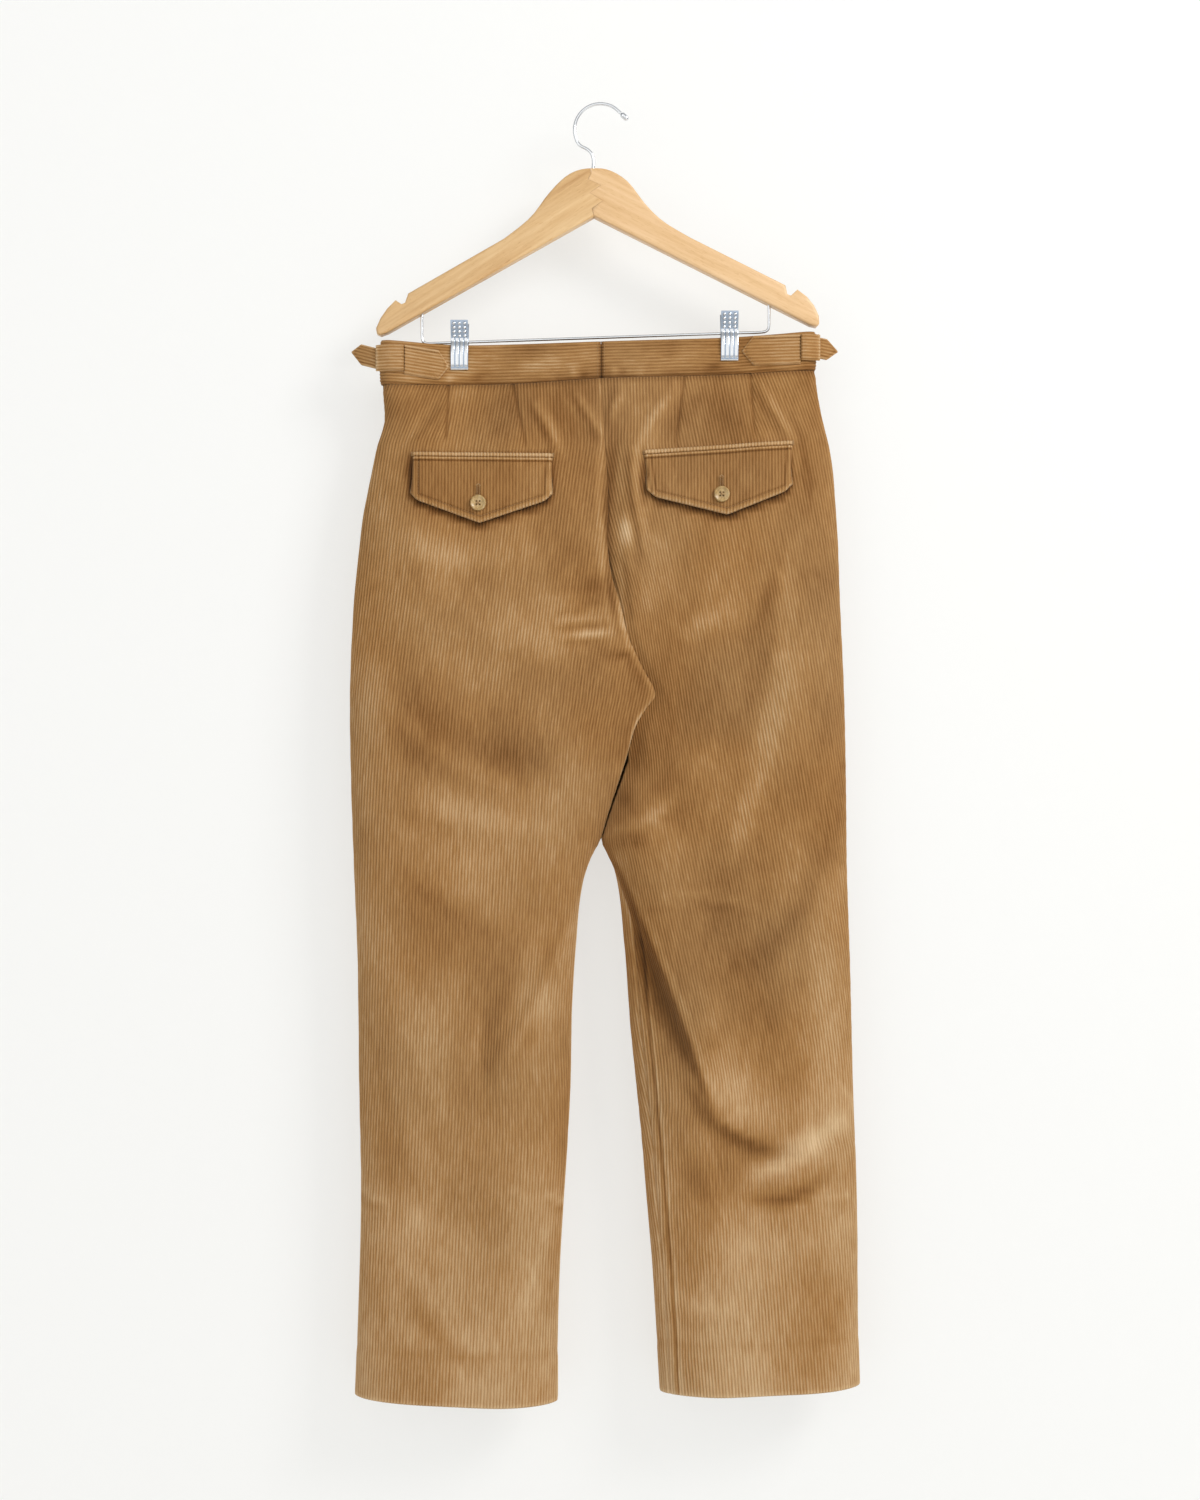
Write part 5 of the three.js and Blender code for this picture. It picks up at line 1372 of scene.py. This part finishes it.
def beech(name, slope, stops):
    """Steamed beech under a clear satin lacquer, with fine straight grain along the arm and short dark flecks."""
    material, tree = new_material(name)
    shader = tree.nodes["Principled BSDF"]
    place = add_node(tree, "ShaderNodeTexCoord")
    turned = add_node(tree, "ShaderNodeMapping", {"Rotation": (0, slope, 0)}, {"Vector": (place, "Object")})
    drawn = add_node(tree, "ShaderNodeMapping", {"Scale": (14, 160, 260)}, {"Vector": (turned, 0)})
    grain = add_node(tree, "ShaderNodeTexNoise", {"Scale": 1.0, "Detail": 5.0, "Roughness": 0.62}, {"Vector": (drawn, 0)})
    broad = add_node(tree, "ShaderNodeMapping", {"Scale": (3, 30, 46)}, {"Vector": (turned, 0)})
    figure = add_node(tree, "ShaderNodeTexNoise", {"Scale": 1.0, "Detail": 2.0}, {"Vector": (broad, 0)})
    tall = add_node(tree, "ShaderNodeMapping", {"Scale": (140, 900, 1500)}, {"Vector": (turned, 0)})
    fleck = add_node(tree, "ShaderNodeTexNoise", {"Scale": 1.0, "Detail": 1.0}, {"Vector": (tall, 0)})
    value = math_node(tree, "MULTIPLY", (grain, 0), 0.6)
    value = math_node(tree, "ADD", value, math_node(tree, "MULTIPLY", (figure, 0), 0.5))
    value = math_node(tree, "SUBTRACT", value, math_node(tree, "MULTIPLY", math_node(tree, "GREATER_THAN", (fleck, 0), 0.66), 0.12))
    colour = colour_ramp(tree, value, stops)
    tree.links.new(colour[0].outputs[0], shader.inputs["Base Color"])
    bump = add_node(tree, "ShaderNodeBump", {"Strength": 0.12, "Distance": 0.0003}, {"Height": (grain, 0)})
    tree.links.new(bump.outputs[0], shader.inputs["Normal"])
    shader.inputs["Roughness"].default_value = 0.42
    shader.inputs["Coat Weight"].default_value = 0.25
    shader.inputs["Coat Roughness"].default_value = 0.25
    return material


def plated_steel(name, code, least, most):
    """Chrome plating over pressed steel: bright, with faint polishing haze. A duller, bluer copy goes on the clip
    plates between their ribs, as painted shade in the grooves.
    """
    material, tree = new_material(name)
    shader = tree.nodes["Principled BSDF"]
    place = add_node(tree, "ShaderNodeTexCoord")
    haze = add_node(tree, "ShaderNodeTexNoise", {"Scale": 220.0, "Detail": 3.0}, {"Vector": (place, "Object")})
    rough = add_node(tree, "ShaderNodeMapRange", {"To Min": least, "To Max": most}, {"Value": (haze, 0)})
    tree.links.new(rough.outputs[0], shader.inputs["Roughness"])
    shader.inputs["Base Color"].default_value = linear(code)
    shader.inputs["Metallic"].default_value = 1
    return material


def horn():
    """Polished horn, mottled beige with a slight translucence."""
    material, tree = new_material("polished_horn")
    shader = tree.nodes["Principled BSDF"]
    place = add_node(tree, "ShaderNodeTexCoord")
    drawn = add_node(tree, "ShaderNodeMapping", {"Scale": (260, 260, 90), "Rotation": (0, 0.5, 0)}, {"Vector": (place, "Object")})
    mottle = add_node(tree, "ShaderNodeTexNoise", {"Scale": 1.0, "Detail": 4.0, "Distortion": 0.8}, {"Vector": (drawn, 0)})
    colour = colour_ramp(tree, (mottle, 0), ((0.25, "#8f7043"), (0.75, "#cbb083"), (0.5, "#b3945f")))
    tree.links.new(colour[0].outputs[0], shader.inputs["Base Color"])
    shader.inputs["Roughness"].default_value = 0.32
    shader.inputs["IOR"].default_value = 1.54
    shader.inputs["Subsurface Weight"].default_value = 0.08
    shader.inputs["Subsurface Radius"].default_value = (0.002, 0.0012, 0.0006)
    return material


def thread(name, light, dark):
    """Mercerised cotton sewing thread."""
    material, tree = new_material(name)
    shader = tree.nodes["Principled BSDF"]
    place = add_node(tree, "ShaderNodeTexCoord")
    twist = add_node(tree, "ShaderNodeTexWave", {"Scale": 700.0, "bands_direction": "DIAGONAL"}, {"Vector": (place, "Object")})
    colour = colour_ramp(tree, (twist, 1), ((0.0, dark), (1.0, light)))
    tree.links.new(colour[0].outputs[0], shader.inputs["Base Color"])
    shader.inputs["Roughness"].default_value = 0.7
    shader.inputs["Sheen Weight"].default_value = 0.2
    return material


# Camera and stage
CAMERA_AWAY = 2100
PICTURE_HEIGHT = 1500
camera_data = bpy.data.cameras.new("camera")
camera = bpy.data.objects.new("camera", camera_data)
bpy.context.scene.collection.objects.link(camera)
camera.location = (4 * MM, -CAMERA_AWAY * MM, -644 * MM)
camera.rotation_euler = (math.radians(90), 0, 0)
camera_data.sensor_width = 36
camera_data.lens = camera_data.sensor_width * CAMERA_AWAY / PICTURE_HEIGHT
bpy.context.scene.camera = camera
bpy.context.scene.view_settings.view_transform = "Standard"


def paint(name, code, glow=0, one_sided=False):
    """Matt emulsion paint on plaster. Its glow stands in for the light that comes from all round."""
    material, tree = new_material(name)
    shader = tree.nodes["Principled BSDF"]
    place = add_node(tree, "ShaderNodeTexCoord")
    roller = add_node(tree, "ShaderNodeTexNoise", {"Scale": 160.0, "Detail": 2.0}, {"Vector": (place, "Object")})
    bump = add_node(tree, "ShaderNodeBump", {"Strength": 0.05, "Distance": 0.0005}, {"Height": (roller, 0)})
    tree.links.new(bump.outputs[0], shader.inputs["Normal"])
    shader.inputs["Base Color"].default_value = linear(code)
    shader.inputs["Roughness"].default_value = 0.9
    shader.inputs["Emission Color"].default_value = linear("#fffffc")
    shader.inputs["Emission Strength"].default_value = glow
    if one_sided:
        clear = add_node(tree, "ShaderNodeBsdfTransparent")
        facing = add_node(tree, "ShaderNodeNewGeometry")
        pick = add_node(tree, "ShaderNodeMixShader", links={0: (facing, "Backfacing"), 1: (shader, 0), 2: (clear, 0)})
        tree.links.new(pick.outputs[0], tree.nodes["Material Output"].inputs[0])
    return material


def stage_plane(name, size, location, turn, material):
    deselect()
    bpy.ops.mesh.primitive_plane_add(size=size, location=location, rotation=turn)
    plane = named(name)
    plane.data.materials.append(material)
    settle(plane)


stage_plane("wall", 8, (0, 0.052, -0.5), (math.radians(90), 0, 0), paint("matt_white_wall_paint", "#959594", 0.626, True))
stage_plane("floor", 8, (0, 0, -1.46), (0, 0, 0), paint("matt_pale_floor_paint", "#efeeec"))


def lamp(name, location, size, power, target, colour="#ffffff"):
    data = bpy.data.lights.new(name, "AREA")
    data.shape, data.size, data.energy = "SQUARE", size, power
    data.color = linear(colour)[:3]
    light = bpy.data.objects.new(name, data)
    bpy.context.scene.collection.objects.link(light)
    light.location = location
    light.rotation_euler = (Vector(target) - Vector(location)).to_track_quat("-Z", "Y").to_euler()


lamp("key", (1.9, -1.7, 1.0), 1.1, 52, (0, 0, -0.6))
lamp("fill", (-2.2, -2.2, -0.2), 2.2, 9, (0, 0, -0.7))
lamp("behind", (0.9, 2.4, 0.9), 1.6, 40, (0, 0, -0.6))
world = bpy.context.scene.world or bpy.data.worlds.new("world")
bpy.context.scene.world = world
world.use_nodes = True
room, sky = world.node_tree, world.node_tree.nodes["Background"]
towards = add_node(room, "ShaderNodeTexCoord")
axes = add_node(room, "ShaderNodeSeparateXYZ", links={0: (towards, "Generated")})
front = add_node(room, "ShaderNodeMapRange", {"From Min": 0.25, "From Max": -0.75}, {"Value": (axes, "Y")})
bright = colour_ramp(room, (front, 0), ((0.0, "#858c92"), (1.0, "#ffffff"), (0.5, "#b4babf")))
room.links.new(bright[0].outputs[0], sky.inputs[0])
power = add_node(room, "ShaderNodeMapRange", {"From Min": -0.6, "From Max": -0.92, "To Min": 0.5, "To Max": 1.15},
                 {"Value": (axes, "Y")})
room.links.new(power.outputs[0], sky.inputs[1])

# Making the pieces
cotton = corduroy(
    "tan_cotton_corduroy",
    ((0.0, "#432911"), (1.0, "#d6b890"), (0.34, "#7a5128"), (0.62, "#a57a49")),
    ((0.3, "#8d6a41"), (0.7, "#a98454")),
    0.22,
)
steel = plated_steel("chrome_plated_steel", "#e4e6e8", 0.07, 0.2)
# A duller, bluer steel for the clip plates, as painted shade in the grooves between their ribs.
groove_shade_steel = plated_steel("plated_steel_with_painted_groove_shade", "#a9b6c6", 0.3, 0.45)
horn_finish = horn()
thread_finish = thread("tan_cotton_thread", "#b08a57", "#7c5931")
# One beech for both arms; the right arm's colours are painted lighter and the left's darker, as painted light from the
# upper right.
wood = {
    "left": beech("lacquered_beech_left_painted_darker", math.radians(33), ((0.3, "#b98c54"), (0.75, "#dfbd8b"), (0.5, "#cfa670"))),
    "right": beech("lacquered_beech_right_painted_lighter", math.radians(-27), ((0.3, "#c4965e"), (0.75, "#e8c497"), (0.5, "#d9b17e"))),
}


def place(piece, material, slot, *nodes):
    if material:
        piece.data.materials.clear()
        piece.data.materials.append(material)
    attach(piece, "root")
    if nodes:
        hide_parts(*nodes)
    return piece


def cloth(piece, flat, area, held, rests_on, *nodes):
    place(piece, cotton, "corduroy", *nodes)


for name in ("back_left", "back_right", "front_left", "front_right"):
    band = f"waistband_{name.split('_')[1]}_cloth"
    cloth(panel_shell(name), (0.29, 1.02), 0.262, "hung", [band], name)
for hand, adjuster in ADJUSTERS.items():
    cloth(band_shell(hand, adjuster["side"]), (0.46, 0.044), None, "hung", [f"clip_back_{hand}_plate"], f"waistband_{hand}")
    strip, loop, tail = adjuster_shells(hand, adjuster)
    cloth(strip, (0.058, 0.03), None, "laid", [f"waistband_{hand}_cloth"], f"adjuster_strip_{hand}")
    cloth(loop, (0.026, 0.036), None, "laid", [f"waistband_{hand}_cloth"], f"adjuster_loop_{hand}")
    cloth(tail, (0.05, 0.021), None, "laid", [f"adjuster_loop_{hand}_cloth"], f"adjuster_tail_{hand}")
    pocket = POCKETS[hand]
    cloth(welt_shell(hand, pocket), (0.147, 0.01), 0.001, "laid", [f"back_{hand}_cloth"], f"welt_{hand}")
    cloth(flap_shell(hand, pocket), (0.145, 0.068), None, "laid", [f"back_{hand}_cloth"], f"flap_{hand}")

    x, drop = pocket["button"]
    around = [(0, 0), (-1, 0), (1, 0), (0, -1), (0, 1)]
    under = [outside_at(f"back_{hand}", np.array([x + i * BUTTON_RADIUS]), np.array([drop + k * BUTTON_RADIUS]))[0]
             for i, k in around]
    seat = float(max(under)) + LAY_GAP + FLAP_LIFT + FLAP_THICK + GAP
    place(button_piece(hand, seat), horn_finish, "horn_button", f"button_{hand}")
    place(sew(f"button_{hand}_thread", button_thread(hand, seat)), thread_finish, "corduroy")
    place(sew(f"flap_{hand}_sewing", flap_sewing(hand, pocket)), thread_finish, "corduroy")
    place(arm_piece(hand), wood[hand], "beech", f"hanger_arm_{hand}")
    for face, label in ((-1, "back"), (1, "front")):
        place(clip_piece(hand, face, steel, groove_shade_steel), None, "chrome", f"clip_{label}_{hand}")
    place(spring_piece(hand), steel, "chrome", f"clip_spring_{hand}")

place(sew("waistband_sewing", band_sewing()), thread_finish, "corduroy")
place(sew("front_sewing", front_sewing()), thread_finish, "corduroy")
place(hook_piece(), steel, "chrome", "hook")
place(hook_tip_piece(), steel, "chrome", "hook_tip")
place(bar_piece(), steel, "chrome", "clip_bar")
